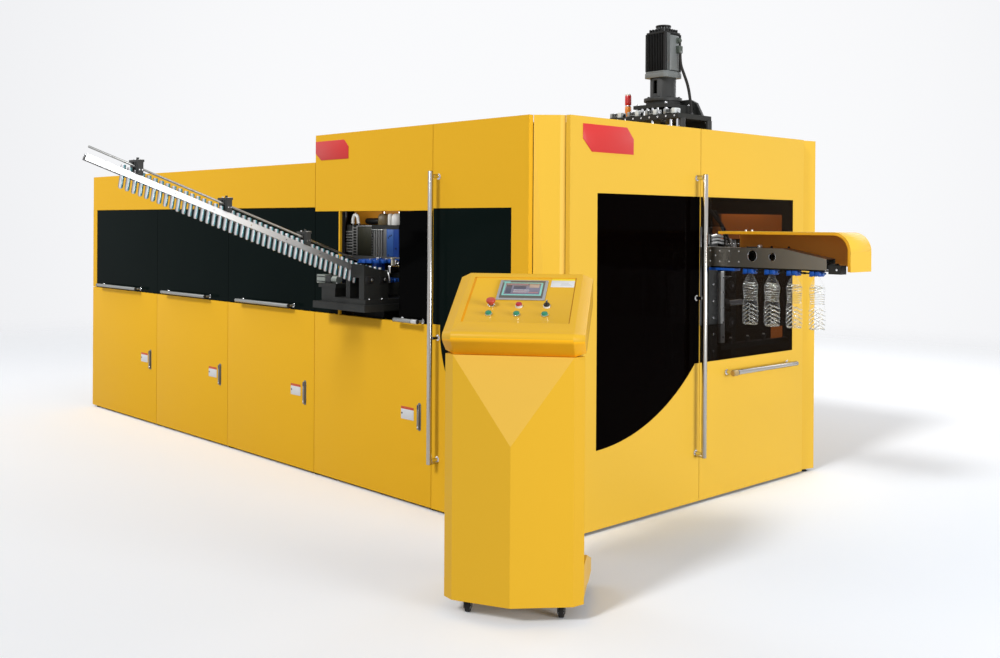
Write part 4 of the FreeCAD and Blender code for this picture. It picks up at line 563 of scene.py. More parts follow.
def dress(node, material, *extra, bevel=0.8):
    """Give a CAD node its finish and softened edges.

    Each extra is another material, and a test on a face's middle and normal that says where it goes.
    """
    piece = NODES[node]
    mesh = piece.data
    mesh.materials.clear()
    mesh.materials.append(material)
    for index, (other, test) in enumerate(extra, start=1):
        mesh.materials.append(other)
        for face in mesh.polygons:
            if test(face.center / MM, face.normal):
                face.material_index = index
    piece.modifiers.new("weld", "WELD").merge_threshold = WELD_GAP
    edge = piece.modifiers.new("edge", "BEVEL")
    edge.width, edge.segments, edge.harden_normals = bevel * MM, 2, True
    edge.limit_method, edge.angle_limit = "ANGLE", math.radians(BEVEL_ANGLE)


# ---------------------------------------------------------------- shared places
FRONT, END, BACK, LEFT = -420.0, 2310.0, 2100.0, -3235.0
LOW_TOP, TALL_TOP, PANEL_FOOT = 2000.0, 2172.0, 16.0
BOTTLE_Y, BOTTLE_X = 930.0, [2590.0 + 140.0 * k for k in range(4)]
DRIVE = (1873.0, 1040.0)


def corners(node):
    """The lowest and highest corner of a CAD node, in millimetres."""
    low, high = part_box(node)
    return Vector(low) / MM, Vector(high) / MM


def stadium(half_width, low, high, across):
    """A slot-shaped outline: straight sides and round ends, centred on across."""
    return (arc(half_width, 0, 180, 8, (across, high - half_width))
            + arc(half_width, 180, 360, 8, (across, low + half_width)))


def rounded(left, low, right, high, radius):
    """A rectangle with round corners."""
    right, high, left, low = right - radius, high - radius, left + radius, low + radius
    return (arc(radius, -90, 0, 4, (right, low)) + arc(radius, 0, 90, 4, (right, high))
            + arc(radius, 90, 180, 4, (left, high)) + arc(radius, 180, 270, 4, (left, low)))


# ---------------------------------------------------------------- cabinet
for node in ("fascia_panels", "left_end_panel", "roof_panels"):
    dress(node, yellow)
dress("corner_columns", end_lit_yellow)
# The back panels' inner faces are painted near-black as shade inside the cabinet.
dress("back_panels", yellow, (inner_painted_shade, lambda c, n: n.y < -0.5 and c.y > 1900))
dress("machine_frame", frame_grey)
dress("levelling_feet", black_cast)
dress("infeed_glass", flap_glass)
dress("tall_door", yellow, (stainless, lambda c, n: c.y < FRONT - 1.5))
dress("end_left_door", end_lit_yellow, (stainless, lambda c, n: c.x > END + 1.5))
dress("end_right_door", end_lit_yellow, (stainless, lambda c, n: c.x > END + 1.5))
dress("tall_door_glass", flap_glass)
dress("end_left_glass", door_glass)
dress("end_right_glass", clear_glass)


def lower_door(number):
    """A folded door with stiffeners behind it, the plate that its latch turns on, and its notice plate."""
    body = f"lower_door_{number}"
    low, high = corners(body)
    left, right, foot, top = low.x, high.x, PANEL_FOOT, high.z
    door = Shape(f"{body}_sheet", body, [yellow, latch_grey])
    door.box((left, FRONT, foot), (right, FRONT + 2, top), bevel=1.4, segments=3)
    for x1, z1, x2, z2 in ((left, foot, left + 2, top), (right - 2, foot, right, top),
                           (left, foot, right, foot + 2), (left, top - 2, right, top)):
        door.box((x1, FRONT + 1.5, z1), (x2, high.y, z2), bevel=0.6)
    for share in (0.3, 0.7):
        z = foot + (top - foot) * share
        door.box((left + 30, FRONT + 1.5, z - 25), (right - 30, FRONT + 13, z + 25), bevel=3)
    x = sum(corner.x for corner in corners(f"door_latch_{number}")) / 2
    door.prism(stadium(13.5, 434, 594, x), "xz", FRONT - 3, FRONT, m=1)
    door.done(replaces=body)
    note = Shape(f"{body}_notice", body, [label_white, label_orange, black_plastic])
    note.box((x - 169, FRONT - 0.9, 485), (x - 53, FRONT, 543), bevel=0.2)
    note.box((x - 169, FRONT - 1.0, 543), (x - 53, FRONT, 558), m=1, bevel=0.2)
    note.rod((x - 160, FRONT - 0.9, 518), ("y", FRONT - 1.3), 6, m=2)
    note.done()


def latch_lever(number):
    """The quarter-turn lever: rounded bar, dark thumb piece at its top and key cylinder near its foot."""
    node = f"door_latch_{number}"
    low, high = corners(node)
    x, front, foot, top = (low.x + high.x) / 2, low.y, low.z, high.z
    lever = Shape(f"latch_lever_{number}", f"latch_{number}", [latch_grey, dark_blue, chrome, black_plastic])
    lever.prism(stadium(8, foot, top, x), "xz", front + 1.5, FRONT - 4, bevel=2.4, segments=3)
    lever.prism(stadium(5.6, top - 30, top - 4, x), "xz", front, front + 3, m=1, bevel=1.2)
    lever.box((x - 4.2, front + 0.3, foot + 34), (x + 4.2, front + 3, top - 38), bevel=1.2)
    lever.rod((x, front + 2, foot + 15), ("y", front), 5.2, m=2)
    lever.box((x - 0.9, front - 0.1, foot + 11.5), (x + 0.9, front + 1, foot + 18.5), m=3, bevel=0.1)
    lever.rod((x, FRONT - 5, (foot + top) / 2), ("y", FRONT - 0.2), 6, m=2)
    lever.done(replaces=node)


def window_fittings(number):
    """Dark end caps on a flap window's lift bar, and the end block of the last one."""
    z = 1071 if number < 4 else 1059
    left, right = {1: (-3027, -2282), 2: (-1820, -1131), 3: (-682, -8), 4: (1119, 1331)}[number]
    y = FRONT - 50
    fit = Shape(f"window_{number}_fittings", f"window_{number}", [end_dark, pale_steel, chrome])
    for x, outward in ((left, -1), (right, 1)):
        fit.rod((x - 1, y, z), ("x", x + 4 * outward), 12.9, bevel=2)
        fit.rod((x - 14 * outward, FRONT + 2, z), ("y", FRONT - 2), 14, m=2)
    if number == 4:
        fit.rod((right - 54, y, z), ("x", right - 50), 12.8)
        fit.rod((right - 50, y, z), ("x", right + 1), 13.8, m=1, bevel=3)
    fit.done()


for number in range(1, 5):
    lower_door(number)
    latch_lever(number)
    dress(f"window_{number}", flap_glass if number < 4 else black_glass,
          (bar_grey, lambda c, n: c.y < FRONT + 1))
    window_fittings(number)


def pull_bar_fittings(name, body, start, end, feet, out):
    """Rosettes under a pull bar's feet, and a cap on each end of the bar."""
    fit = Shape(name, body, [chrome, end_brown])
    start, end, out = Vector(start), Vector(end), Vector(out)
    for foot in feet:
        foot = Vector(foot)
        fit.rod(foot, foot + out * 4, 17, bevel=1.5)
        fit.rod(foot + out * 4, foot + out * 46, 10.4, bevel=0.5)
    along = (end - start).normalized() * 1.5
    fit.rod(start - along, start, 13.6, m=1, bevel=1.2)
    fit.rod(end + along, end, 13.6, m=1, bevel=1.2)
    fit.done()


pull_bar_fittings("tall_door_bar_feet", "tall_door", (1452, -480, 280), (1452, -480, 1903),
                  [(1452, FRONT, z) for z in (299, 977, 1875)], (0, -1, 0))
pull_bar_fittings("end_left_bar_feet", "end_left_door", (2370, 802, 280), (2370, 802, 1903),
                  [(END, 802, z) for z in (300, 1884)], (1, 0, 0))
pull_bar_fittings("end_right_bar_feet", "end_right_door", (2370, 1087, 739), (2370, 1786, 739),
                  [(END, y, 739) for y in (1107, 1766)], (1, 0, 0))


def end_trim():
    """The tan sleeve on the level bar's near end, the knob foot on the glass, and two dark strips: one by the
    pane, and one of painted shade on the jamb's inner side.
    """
    sleeve = Shape("level_bar_sleeve", "end_right_door", [brass_tan, end_dark])
    sleeve.rod((2370, 1083, 739), ("y", 1128), 19, bevel=5)
    sleeve.rod((2370, 1128, 739), ("y", 1134), 16.5, m=1)
    sleeve.done()
    knob = Shape("glass_knob", "end_left_door", [chrome])
    knob.rod((END - 2, 802, 1193), ("x", END + 4), 16, bevel=2)
    knob.rod((END + 4, 802, 1193), ("x", END + 46), 11, bevel=1)
    knob.done()
    for name, low, high, bevel in (("pane_seal", (2286, 812, 796), (2300.5, 866, 1799), 1),
                                   ("jamb_shade", (499.8, FRONT + 16, 1046), (500.8, FRONT + 40, 1686), 0)):
        strip = Shape(name, "machine", [black_plastic])
        strip.box(low, high, bevel=bevel)
        strip.done()


def glass_bay():
    """What shows behind the right pane: a brown sheet and strip that glow as painted light, the sheet's near
    end in painted shade, upright, eyes, push rod, sill, cables and air lines.
    """
    bay = Shape("glass_bay", "machine", [painted_glow_brown, black_cast, chrome, pale_steel, end_dark, shade_brown])
    # The top sheet and the small strip glow as painted light; the sheet's near end is painted shade.
    for low, high, m, bevel in (((2196, 1205, 1530), (2199, 1877, 1684), 0, 1),
                                ((2196, 1115, 1530), (2199, 1204, 1684), 5, 1),
                                ((2238, 1693, 893), (2242, 1823, 966), 0, 1),
                                ((2236, 1114, 905), (2262, 1156, 1335), 3, 2),
                                ((2200, 1114, 862), (2264, 1872, 892), 1, 3)):
        bay.box(low, high, m, bevel)
    for z in range(940, 1301, 90):
        bay.screw((2262, 1135, z), "x", 7, 4, m=2)
    for z in (1244, 1025):
        for start, end, radius, m, bevel in ((2216, 2256, 64, 1, 6), (2256, 2262, 30, 4, 2),
                                             (2262, 2268, 9, 2, 1)):
            bay.rod((start, 1228, z), ("x", end), radius, m, bevel=bevel)
    bay.rod((2240, 1156, 1141), ("y", 1206), 31, m=4, bevel=3, sides=6)
    bay.rod((2240, 1206, 1141), ("y", 1392), 24, m=2, bevel=2)
    bay.rod((2240, 1392, 1141), ("y", 1470), 58, m=1, bevel=6)
    for y in (1240, 1420, 1600):
        bay.rod((2246, y, 892), ("z", 926), 15, m=4, bevel=2)
        bay.rod((2246, y, 926), ("z", 934), 8, m=3, bevel=1)
    bay.sweep([(2252, 1010, 1706), (2252, 1085, 1650), (2252, 1151, 1597), (2254, 1204, 1506),
               (2254, 1216, 1430)], 10, m=4)
    bay.sweep([(2256, 1060, 1700), (2256, 1120, 1610), (2258, 1150, 1540), (2258, 1156, 1440)], 7, m=4)
    for k in range(3):
        bay.sweep([(2246, 1030, 1546 - 20 * k), (2250, 1090, 1552 - 20 * k), (2250, 1170, 1540 - 20 * k),
                   (2246, 1238, 1524 - 16 * k)], 8, m=3)
    bay.done()


glass_bay()


end_trim()


def badge(name, body, outline, plane, low, high):
    """A bare red plate with two corners cut."""
    plate = Shape(name, body, [red_plate])
    plate.prism(outline, plane, low, high, bevel=1.6)
    plate.done()


badge("badge_long_side", "machine",
      [(230, 2131), (541, 2131), (588, 2088), (588, 2011), (291, 2011), (230, 2055)], "xz", FRONT - 3, FRONT)
badge("badge_end", "end_left_door",
      [(-177, 2135), (174, 2135), (229, 2075), (229, 1991), (-108, 1991), (-177, 2057)], "yz", END, END + 3)


def panel_screws():
    """Countersunk-washer screws that hold the fixed pans of the far side and the left end."""
    fit = Shape("panel_screws", "machine", [chrome])
    edges = [LEFT, -2002, -882, 225, 1399, 2200]
    for left, right in zip(edges, edges[1:]):
        top = LOW_TOP if right < 300 else TALL_TOP
        for x in (left + 40, right - 40):
            for z in (60, (top + 60) / 2, top - 50):
                fit.screw((x, BACK, z), "y", 7, 4)
    for y in (-340, 840, 2020):
        for z in (60, 1000, 1950):
            fit.screw((LEFT, y, z), "-x", 7, 4)
    fit.done()


panel_screws()

# ---------------------------------------------------------------- preform rail
KINK, RAIL_X, RAIL_Z = -460.0, 750.0, 1348.0
SLOPE, LANDING = math.radians(20), math.radians(9.5)
RAIL = Matrix.Translation((RAIL_X, KINK, RAIL_Z)) @ turn_about("X", -20)
YOKES = [-842.0, -1347.0, -1852.0]


def rail_top(y):
    return RAIL_Z - (y - KINK) * math.tan(SLOPE if y < KINK else LANDING)


def off_rod_axis(c):
    """How far a point is from the hold-down rod's middle line."""
    local = RAIL.inverted() @ c
    return math.hypot(local.x, local.z - 38)


dress("infeed_rail", aluminium)
dress("guide_rod", grey_cast, (machined, lambda c, n: off_rod_axis(c) < 6.6),
                               (chrome, lambda c, n: abs(c.x - 760) < 8 and n.z > 0.5 and
                                min(abs(c.z - rail_top(y) - 88) for y in YOKES) < 3))


def rail_fittings():
    """Screws through the bars, joint plates under the yokes, and the bright end of each yoke's cap."""
    fit = Shape("rail_fittings", "machine", [chrome, pale_steel, machined])
    for y in YOKES:
        fit.box((RAIL_X + 36, y - 15, rail_top(y) + 75.5), (RAIL_X + 50.5, y + 15, rail_top(y) + 77.5), m=1,
                bevel=0.6)
        for dy in (-8, 8):
            fit.screw((RAIL_X + 47, y + dy, rail_top(y) + 24), "x", 3.6, 2.4)
        fit.bolt((RAIL_X - 30, y, rail_top(y) + 76), "z", 6, 6)
    for reach in range(60, 1760, 240):
        for side in (-1, 1):
            fit.screw((side * 18.5, -reach, -17), (side, 0, 0), 4, 2.2, matrix=RAIL)
        fit.rod((-12.5, -reach, -28), ("x", 12.5), 3.4, m=2, matrix=RAIL)
    fit.done()


rail_fittings()
PREFORM = [(0, -104), (4, -103.4), (8, -101.2), (10.8, -97), (12, -91), (12, -60), (12, -30), (12.1, -6),
           (12.5, -2), (12.5, 0.2), (16.3, 0.3), (16.3, 2.7), (12.6, 3), (12.4, 5.6), (13.7, 6.4),
           (13.7, 7.8), (12.4, 8.8), (12.4, 11), (13.7, 11.8), (13.7, 13.2), (12.4, 14.2), (12.4, 19),
           (10.6, 19), (10.5, 2), (9.3, -8), (9.3, -92), (5, -97.5), (0, -98.5)]


def preform_row():
    """The row of clear preforms: each leans a little on the slope, and hangs plumb on the landing."""
    row = Shape("preform_row", "machine", [preform_clear])
    pitch = 36.7
    for way, slope, count, lift, lean in ((-1, SLOPE, 43, 2.2, -8), (1, LANDING, 5, 1.7, 0)):
        for k in range(count):
            reach = pitch * (k + 0.5)
            spot = (RAIL_X, KINK + way * reach * math.cos(slope) + lift * math.sin(slope),
                    RAIL_Z - way * reach * math.sin(slope) + lift * math.cos(slope))
            row.lathe(PREFORM, matrix=Matrix.Translation(spot) @ turn_about("X", lean), sides=20)
    row.done(replaces="preforms", smooth=60)


preform_row()

# ---------------------------------------------------------------- feeder and what stands behind the opening
dress("infeed_unit", black_cast,
    (cylinder_grey, lambda c, n: math.hypot(c.y + 465, c.z - 1265) < 23.5 and 351 < c.x < 561),
    (chrome, lambda c, n: math.hypot(c.x - 620, c.y + 210) < 23 and c.z > 1250), bevel=1.6)
dress("star_wheel", blue)


def feeder_fittings():
    """Pockets painted as thin black plates under dark ledges, knobs and screws on the feeder's casting, its
    bright bracket, and the wheel's screws.
    """
    fit = Shape("feeder_fittings", "machine",
                [black_plastic, machined, chrome, cream, pale_steel, grey_cast, cylinder_grey])
    # Painted shade: a thin black plate stands for each pocket's hollow, and a dark ledge along its top for a
    # painted shadow line.
    for left, right, knob in ((-514, -460, -470), (-411, -359, -374)):
        fit.box((899.6, left, 1254), (900.8, right, 1298), bevel=0.3)
        fit.box((900, left - 2, 1296), (904, right + 2, 1301), m=5, bevel=0.8)
        fit.rod((900.5, knob, 1278), ("x", 910), 8.5, m=1, bevel=2)
        fit.rod((900.5, knob - 18, 1278), ("x", 903), 4, m=5)
    for y in (-494, -403):
        fit.screw((910, y, 1162), "z", 6.5, 7, m=2)
    for spot in ((484, -485, 1132), (621, -485, 1132), (440, -480, 1242), (560, -480, 1242),
                 (870, -500, 1132), (915, -200, 1132), (560, -130, 1132)):
        fit.screw(spot, "z", 6, 6, m=1)
    fit.box((902, -355, 1314), (926, -276, 1361), m=2, bevel=7, segments=3)
    fit.box((850, -350, 1310), (905, -285, 1330), m=1, bevel=3)
    fit.ring((906, -294, 1376), ("x", 918), 15, 8, m=2, bevel=2)
    fit.box((903, -330, 1361), (915, -308, 1398), m=3, bevel=2)
    fit.box((899, -334, 1398), (918, -304, 1408), m=3, bevel=3)
    fit.sweep([(902, -352, 1322), (915, -353, 1300), (916, -350, 1278), (905, -340, 1258)], 4.2, m=4)
    fit.box((354, -493, 1238), (444, -438, 1292), m=6, bevel=5, segments=3)
    fit.box((446, -490, 1242), (506, -441, 1288), m=5, bevel=5)
    fit.rod((506, -465, 1266), ("x", 520), 17, m=6, bevel=3)
    for z in (1250, 1280):
        fit.box((354, -495, z - 3), (444, -492, z + 3), m=5)
    fit.done()
    bolts = Shape("wheel_screws", "star_wheel", [chrome, blue])
    for k in range(6):
        bolts.screw((*polar(58, 60 * k + 15, (620, -210)), 1387), "z", 6, 5)
    bolts.ring((620, -210, 1387), ("z", 1391), 42, 16, m=1)
    bolts.done()


feeder_fittings()
COIL = (54, 5)
# The cover at the top of the works takes the brown copy of the yellow as painted shade.
dress("infeed_works", black_cast, (pale_steel, lambda c, n: 1373 < c.z < 1398.5 and c.y < 61),
      (rib_grey, lambda c, n: math.hypot(c.x - COIL[0], c.y - COIL[1]) > 46.5 and abs(c.x - COIL[0]) < 53
       and 1399 < c.z < 1600 and abs(c.y - COIL[1]) < 53), (rib_grey, lambda c, n: 343 < c.x < 456
                                                            and c.y < -40 and 1399 < c.z < 1575),
      (pale_steel, lambda c, n: 456 < c.x < 491 and 1399 < c.z < 1574),
      (works_blue, lambda c, n: 493 < c.x < 620 and 1399 < c.z < 1576 and c.y < 59), (cover_painted_shade, lambda c,
                                                                                      n: 350 < c.x < 442
                                                                                      and c.z > 1602
                                                                                      and c.y < 56),
      (white_plastic, lambda c, n: 442 < c.x < 610 and c.z > 1602 and c.y < 58), (motor_black, lambda c,
                                                                                  n: 160 < c.x < 345
                                                                                  and c.z > 1606
                                                                                  and c.y < 60))


def works_trim():
    """Rungs, frames, slots, pipe and hose on the machinery seen through the infeed opening, black discs as
    painted shade for its holes, and the housing behind it in a dark orange copy of the yellow as painted
    shade.
    """
    front = -50
    trim = Shape("works_trim", "machine", [rib_grey, olive_panel, pale_steel, black_plastic, chrome,
                                           works_blue_light, housing_painted_shade, white_plastic])
    for x in (118, 166):
        trim.box((x, front - 4, 1400), (x + 8, front, 1596))
    for k in range(10):
        trim.box((124, front - 3, 1408 + 19 * k), (168, front, 1414 + 19 * k))
        trim.box((334, front - 2, 1404 + 18 * k), (340, front, 1414 + 18 * k), m=2, bevel=0.4)
    # Among these, the back housing's sheet and strip are in the dark orange painted shade.
    for low, high, m, bevel in (((184, front - 2, 1402), (330, front, 1586), 1, 0.6),
                                ((178, front - 5, 1590), (334, front, 1597), 2, 1),
                                ((343, front - 4, 1567), (456, front - 0.5, 1573), 2, 1),
                                ((494, front - 2, 1400), (566, front, 1573), 5, 1),
                                ((-18, 58.4, 1604), (638, 60.2, 1728), 6, 0.3),
                                ((-14, 52, 1700), (634, 59, 1706), 6, 1)):
        trim.box(low, high, m, bevel)
    # Uprights on the housing, also in the dark orange painted shade.
    for x in (300, 480, 620):
        trim.box((x, 50, 1604), (x + 6, 59, 1726), m=6)
    # Black discs stand for holes in the works: painted shade.
    for x, z in ((543, 1536), (513, 1520), (590, 1452), (513, 1409), (528, 1530)):
        trim.rod((x, front - 2.6, z), ("y", front), 6, m=3)
    trim.sweep([(92, -30, 1598), (96, -32, 1636), (112, -34, 1664), (136, -34, 1668), (152, -32, 1646),
                (157, -30, 1604)], 11, m=7)
    for x in (157, 92):
        trim.rod((x, -30, 1598), ("z", 1612), 14, m=4)
    trim.sweep([(20, -36, 1694), (26, -40, 1650), (10, -44, 1600), (0, -44, 1560)], 10, m=3)
    for x in (556, 398):
        trim.rod((x, 5, 1676), ("z", 1690), 7, m=4)
    for k in range(8):
        trim.ring((*COIL, 1420 + 19 * k), ("z", 1423 + 19 * k), 53.4, 50, m=2)
    for x in (20, 300, 610):
        trim.screw((x, -40, 1398), "z", 6, 5, m=4)
    trim.done()


works_trim()

# ---------------------------------------------------------------- inside: oven and clamp
dress("oven_modules", machined)
dress("clamp_frame", grey_cast, (chrome, lambda c, n: min(math.hypot(c.x - x, c.z - z) for x in (1600, 2140)
                                                           for z in (860, 1440)) < 25.5 and 521 < c.y < 1339))
dress("mould_front", mould_metal)
dress("mould_rear", mould_metal)
dress("stretch_carriage", machined)


def clamp_fittings():
    """Nuts on the tie bars, caps of the push cylinders, and a plate and screws of the clamp."""
    fit = Shape("clamp_fittings", "machine", [chrome, black_cast, machined])
    for x in (1600, 2140):
        for z in (860, 1440):
            for y, out in ((470, "-y"), (1390, "y")):
                fit.bolt((x, y, z), out, 30, 26, m=2)
    for start, end in ((230, 244), (1630, 1616)):
        fit.rod((1870, start, 1180), ("y", end), 66, m=1, bevel=3)
    fit.box((2186, 1012, 1500), (2244, 1022, 1556), m=2, bevel=2)
    for z in (760, 860, 960, 1060, 1160, 1260, 1360, 1460, 1540):
        fit.screw((2240, 1065, z), "x", 7, 5)
    fit.done()


clamp_fittings()

# ---------------------------------------------------------------- stretch drive on the roof
DECK = 2280.0
dress("roof_bracket", grey_cast,
    (black_cast, lambda c, n: DECK + 1 < c.z < DECK + 97.5 and c.y < 1183 and c.y > 890),
    (black_cast, lambda c, n: c.z < DECK + 0.5 and c.y < 1183),
    (chrome, lambda c, n: math.hypot(c.x - DRIVE[0], c.y - DRIVE[1]) < 16.5 and c.z < 2251), bevel=1.4)


def roof_fittings():
    """Screws of the round flange, the square plate and the deck, bright studs, and posts below the deck."""
    fit = Shape("roof_fittings", "machine", [chrome, black_cast, grey_cast])
    x, y = DRIVE
    for k in range(8):
        fit.screw((*polar(101, 45 * k + 22.5, DRIVE), DECK + 117), "z", 7, 8, m=1)
    for dx in (-112, 112):
        for dy in (-112, 112):
            fit.bolt((x + dx, y + dy, DECK + 72), "z", 10, 12)
            fit.rod((x + dx, y + dy, DECK), ("z", DECK + 50), 9)
    for dx in (-60, -20, 20, 60):
        fit.rod((x + dx, y - 124, DECK + 24), ("z", DECK + 50), 8)
    for k in range(9):
        fit.screw((1606 + 63 * k, 850, DECK - 15), "-y", 6, 5)
    for px in (1640, 1780, 1920, 2060, 2110):
        fit.rod((px, 880, 2176), ("z", DECK - 30), 9)
    fit.rod((2100, 930, 2176), ("z", DECK - 30), 20, m=1)
    fit.rod((2100, 930, 2200), ("z", 2216), 24)
    for px, pz in ((1900, 2180), (2060, 2180), (1900, 2360), (1980, 2350)):
        fit.bolt((px, 1182, pz), "-y", 9, 8, m=1)
    fit.box((1674, 960, DECK), (1700, 990, DECK + 38), m=1, bevel=3)
    fit.done()


roof_fittings()


def air_valves():
    """The four blow valves: bright body with a dark ribbed middle, between two flanged ends."""
    valves = Shape("air_valves", "machine", [valve_silver, black_cast, chrome, cap_white])
    for k in range(4):
        x, y, z = 1640 + 140 * k, 890, DECK + 17
        valves.box((x - 44, y - 30, DECK), (x - 27, y + 30, DECK + 31), bevel=2)
        valves.rod((x - 28, y, z), ("x", x + 30), 13.5, m=1, sides=24)
        for rib in range(5):
            valves.rod((x - 22 + 9 * rib, y, z), ("x", x - 18 + 9 * rib), 15.4, m=1 if rib % 2 else 0,
                       sides=24)
        valves.box((x + 14, y - 28, DECK), (x + 42, y + 28, DECK + 34), m=3, bevel=5)
        valves.rod((x + 42, y, z), ("x", x + 46), 12, m=2, bevel=2)
        for side in (-1, 1):
            valves.rod((x - 28, y + side * 21, DECK + 8), ("x", x + 20), 3, sides=12)
        valves.bolt((x - 36, y, DECK + 31), "z", 6, 8, m=2)
    valves.done(replaces="blow_valves")


air_valves()


def drive_motor():
    """The servo motor: cut-corner flange, finned faces, corner pillars, top fins, encoder cap and plugs."""
    low = DECK + 242
    top = low + 283
    motor = Shape("drive_motor", "machine", [motor_black, motor_painted_sheen, chrome, plug_green],
                  home=Matrix.Translation((*DRIVE, 0)))
    cut = 18
    flange = [(-88 + cut, -88), (88 - cut, -88), (88, -88 + cut), (88, 88 - cut), (88 - cut, 88),
              (-88 + cut, 88), (-88, 88 - cut), (-88, -88 + cut)]
    motor.prism(flange, "xy", low, low + 30, m=1, bevel=2.2)
    motor.prism([(u * 0.96, v * 0.96) for u, v in flange], "xy", low + 30, low + 40, m=1, bevel=2)
    motor.prism(rounded(-70, -70, 70, 70, 10), "xy", low + 38, low + 276, bevel=0)
    for u in (-1, 1):
        for v in (-1, 1):
            left, right = sorted((u * 80, u * 62))
            near, far = sorted((v * 80, v * 62))
            motor.prism(rounded(left, near, right, far, 6), "xy", low + 40, low + 272, segments=1)
    for k in range(9):
        offset = -54 + 12.5 * k
        for turn in (0, 90, 180):
            motor.box((offset, -79, low + 42), (offset + 3.6, -69, low + 274), bevel=0.8, segments=1,
                      matrix=turn_about("Z", -turn))
    panel = [(69, -34)] + [(71 + 11 * math.sin(math.pi * k / 12) ** 0.6, 14 - 46 * math.cos(math.pi * k / 12))
                           for k in range(13)]
    panel += [(69, 62)]
    # The right-hand panel and its three rib lines use the lighter grey as painted sheen.
    motor.prism(panel, "xy", low + 46, low + 262, m=1, bevel=1.5)
    for y in (-60, -49, -39):
        motor.box((69, y, low + 42), (80.5, y + 4.5, low + 272), m=1)
    motor.prism(rounded(-78, -78, 78, 78, 14), "xy", low + 270, top, bevel=2.5)
    for turn in (0, 90, 180, 270):
        for k in range(5):
            motor.box((-52 + 22 * k, -76, top - 1), (-42 + 22 * k, -58, top + 17), bevel=1.5, segments=1,
                      matrix=turn_about("Z", turn))
    motor.lathe([(0, 0), (43, 0), (43, 4), (41, 8), (42, 30), (47.5, 36), (48, 40), (48, 44), (46, 46),
                 (0, 46)], at=(0, 0, top), sides=48)
    for k in range(16):
        motor.box((40.5, -2.2, top + 6), (45.5, 2.2, top + 34), m=1, bevel=0.8, segments=1,
                  matrix=turn_about("Z", 22.5 * k))
    motor.prism(rounded(78, 22, 110, 58, 8), "xy", low + 152, low + 198, m=3, bevel=4, segments=3)
    motor.box((70, 26, low + 156), (84, 54, low + 194), m=3, bevel=2)
    motor.rod((100, 40, low + 168), ("z", low + 150), 13, m=1, bevel=2)
    motor.rod((76, 40, low + 232), ("x", 104), 15, m=3, bevel=4)
    motor.box((72, 24, low + 216), (90, 56, low + 250), m=3, bevel=4)
    motor.done(replaces="servo_motor")


drive_motor()

CABLE_ROUTE = [(1.973, 1.080, 2.672), (1.973, 1.080, 2.610), (2.001, 1.084, 2.542), (2.029, 1.090, 2.464),
               (2.037, 1.100, 2.380), (2.037, 1.110, 2.324), (2.037, 1.110, 2.280)]
CABLE_DIAMETER, CABLE_LENGTH = 0.018, 0.403


def motor_lead():
    """The motor's lead, from its plug down past the flange to the gland on the deck."""
    curve = bpy.data.curves.new("motor_lead", "CURVE")
    curve.dimensions = "3D"
    curve.bevel_depth = CABLE_DIAMETER / 2
    curve.bevel_resolution = 5
    curve.resolution_u = 16
    curve.use_fill_caps = True
    spline = curve.splines.new("NURBS")
    spline.points.add(len(CABLE_ROUTE) - 1)
    for point, place in zip(spline.points, CABLE_ROUTE):
        point.co = (*place, 1)
    spline.order_u = 3
    spline.use_endpoint_u = True
    curve.materials.append(rubber)
    lead = add_object("motor_lead", curve)
    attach(lead, "machine")
    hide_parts("motor_cable")
    gland = Shape("lead_gland", "machine", [black_plastic])
    gland.lathe([(9.2, 0), (17, 0), (17, 8), (14, 10), (14, 22), (9.2, 26), (9.2, 0)], at=(2037, 1110, DECK),
                sides=24)
    gland.done()


motor_lead()


def signal_lamp():
    """The signal lamp: stem and base, amber lens, bright ring, red lens and white cap."""
    lamp = Shape("signal_lamp", "machine", [chrome, orange_lens, red_lens, white_plastic],
                 home=Matrix.Translation((1614, 1015, DECK)))
    lamp.lathe([(0, 0), (17, 0), (17, 5), (10, 8), (10, 16), (19.6, 17), (19.6, 21), (0, 21)])
    lens = [(0, 0), (19, 0), (20, 1.5), (20, 63), (19, 64.5), (0, 64.5)]
    for profile, m, foot in ((lens, 1, 21), ([(0, 0), (19.4, 0), (19.8, 1), (19.8, 6), (19.4, 7), (0, 7)], 0,
                                             85.5), (lens, 2, 92.5),
                             ([(0, 0), (19.8, 0), (19.8, 6), (18, 9), (12, 10.8), (0, 11)], 3, 157)):
        lamp.lathe(profile, m, (0, 0, foot), sides=40)
    for k in range(20):
        for foot, m in ((24, 1), (96, 2)):
            lamp.rod((*polar(19.4, 18 * k), foot), ("z", foot + 56), 1.1, m, sides=6)
    lamp.done(replaces="stack_light")


signal_lamp()

# ---------------------------------------------------------------- outfeed
BEAM_FACE = 885.0
dress("outfeed_beam", beam_steel, (black_cast, lambda c, n: c.x > 3089 or (c.x > 3058 and c.z < 1405.5 and
                                                                           abs(c.y - BOTTLE_Y) < 42.5)))


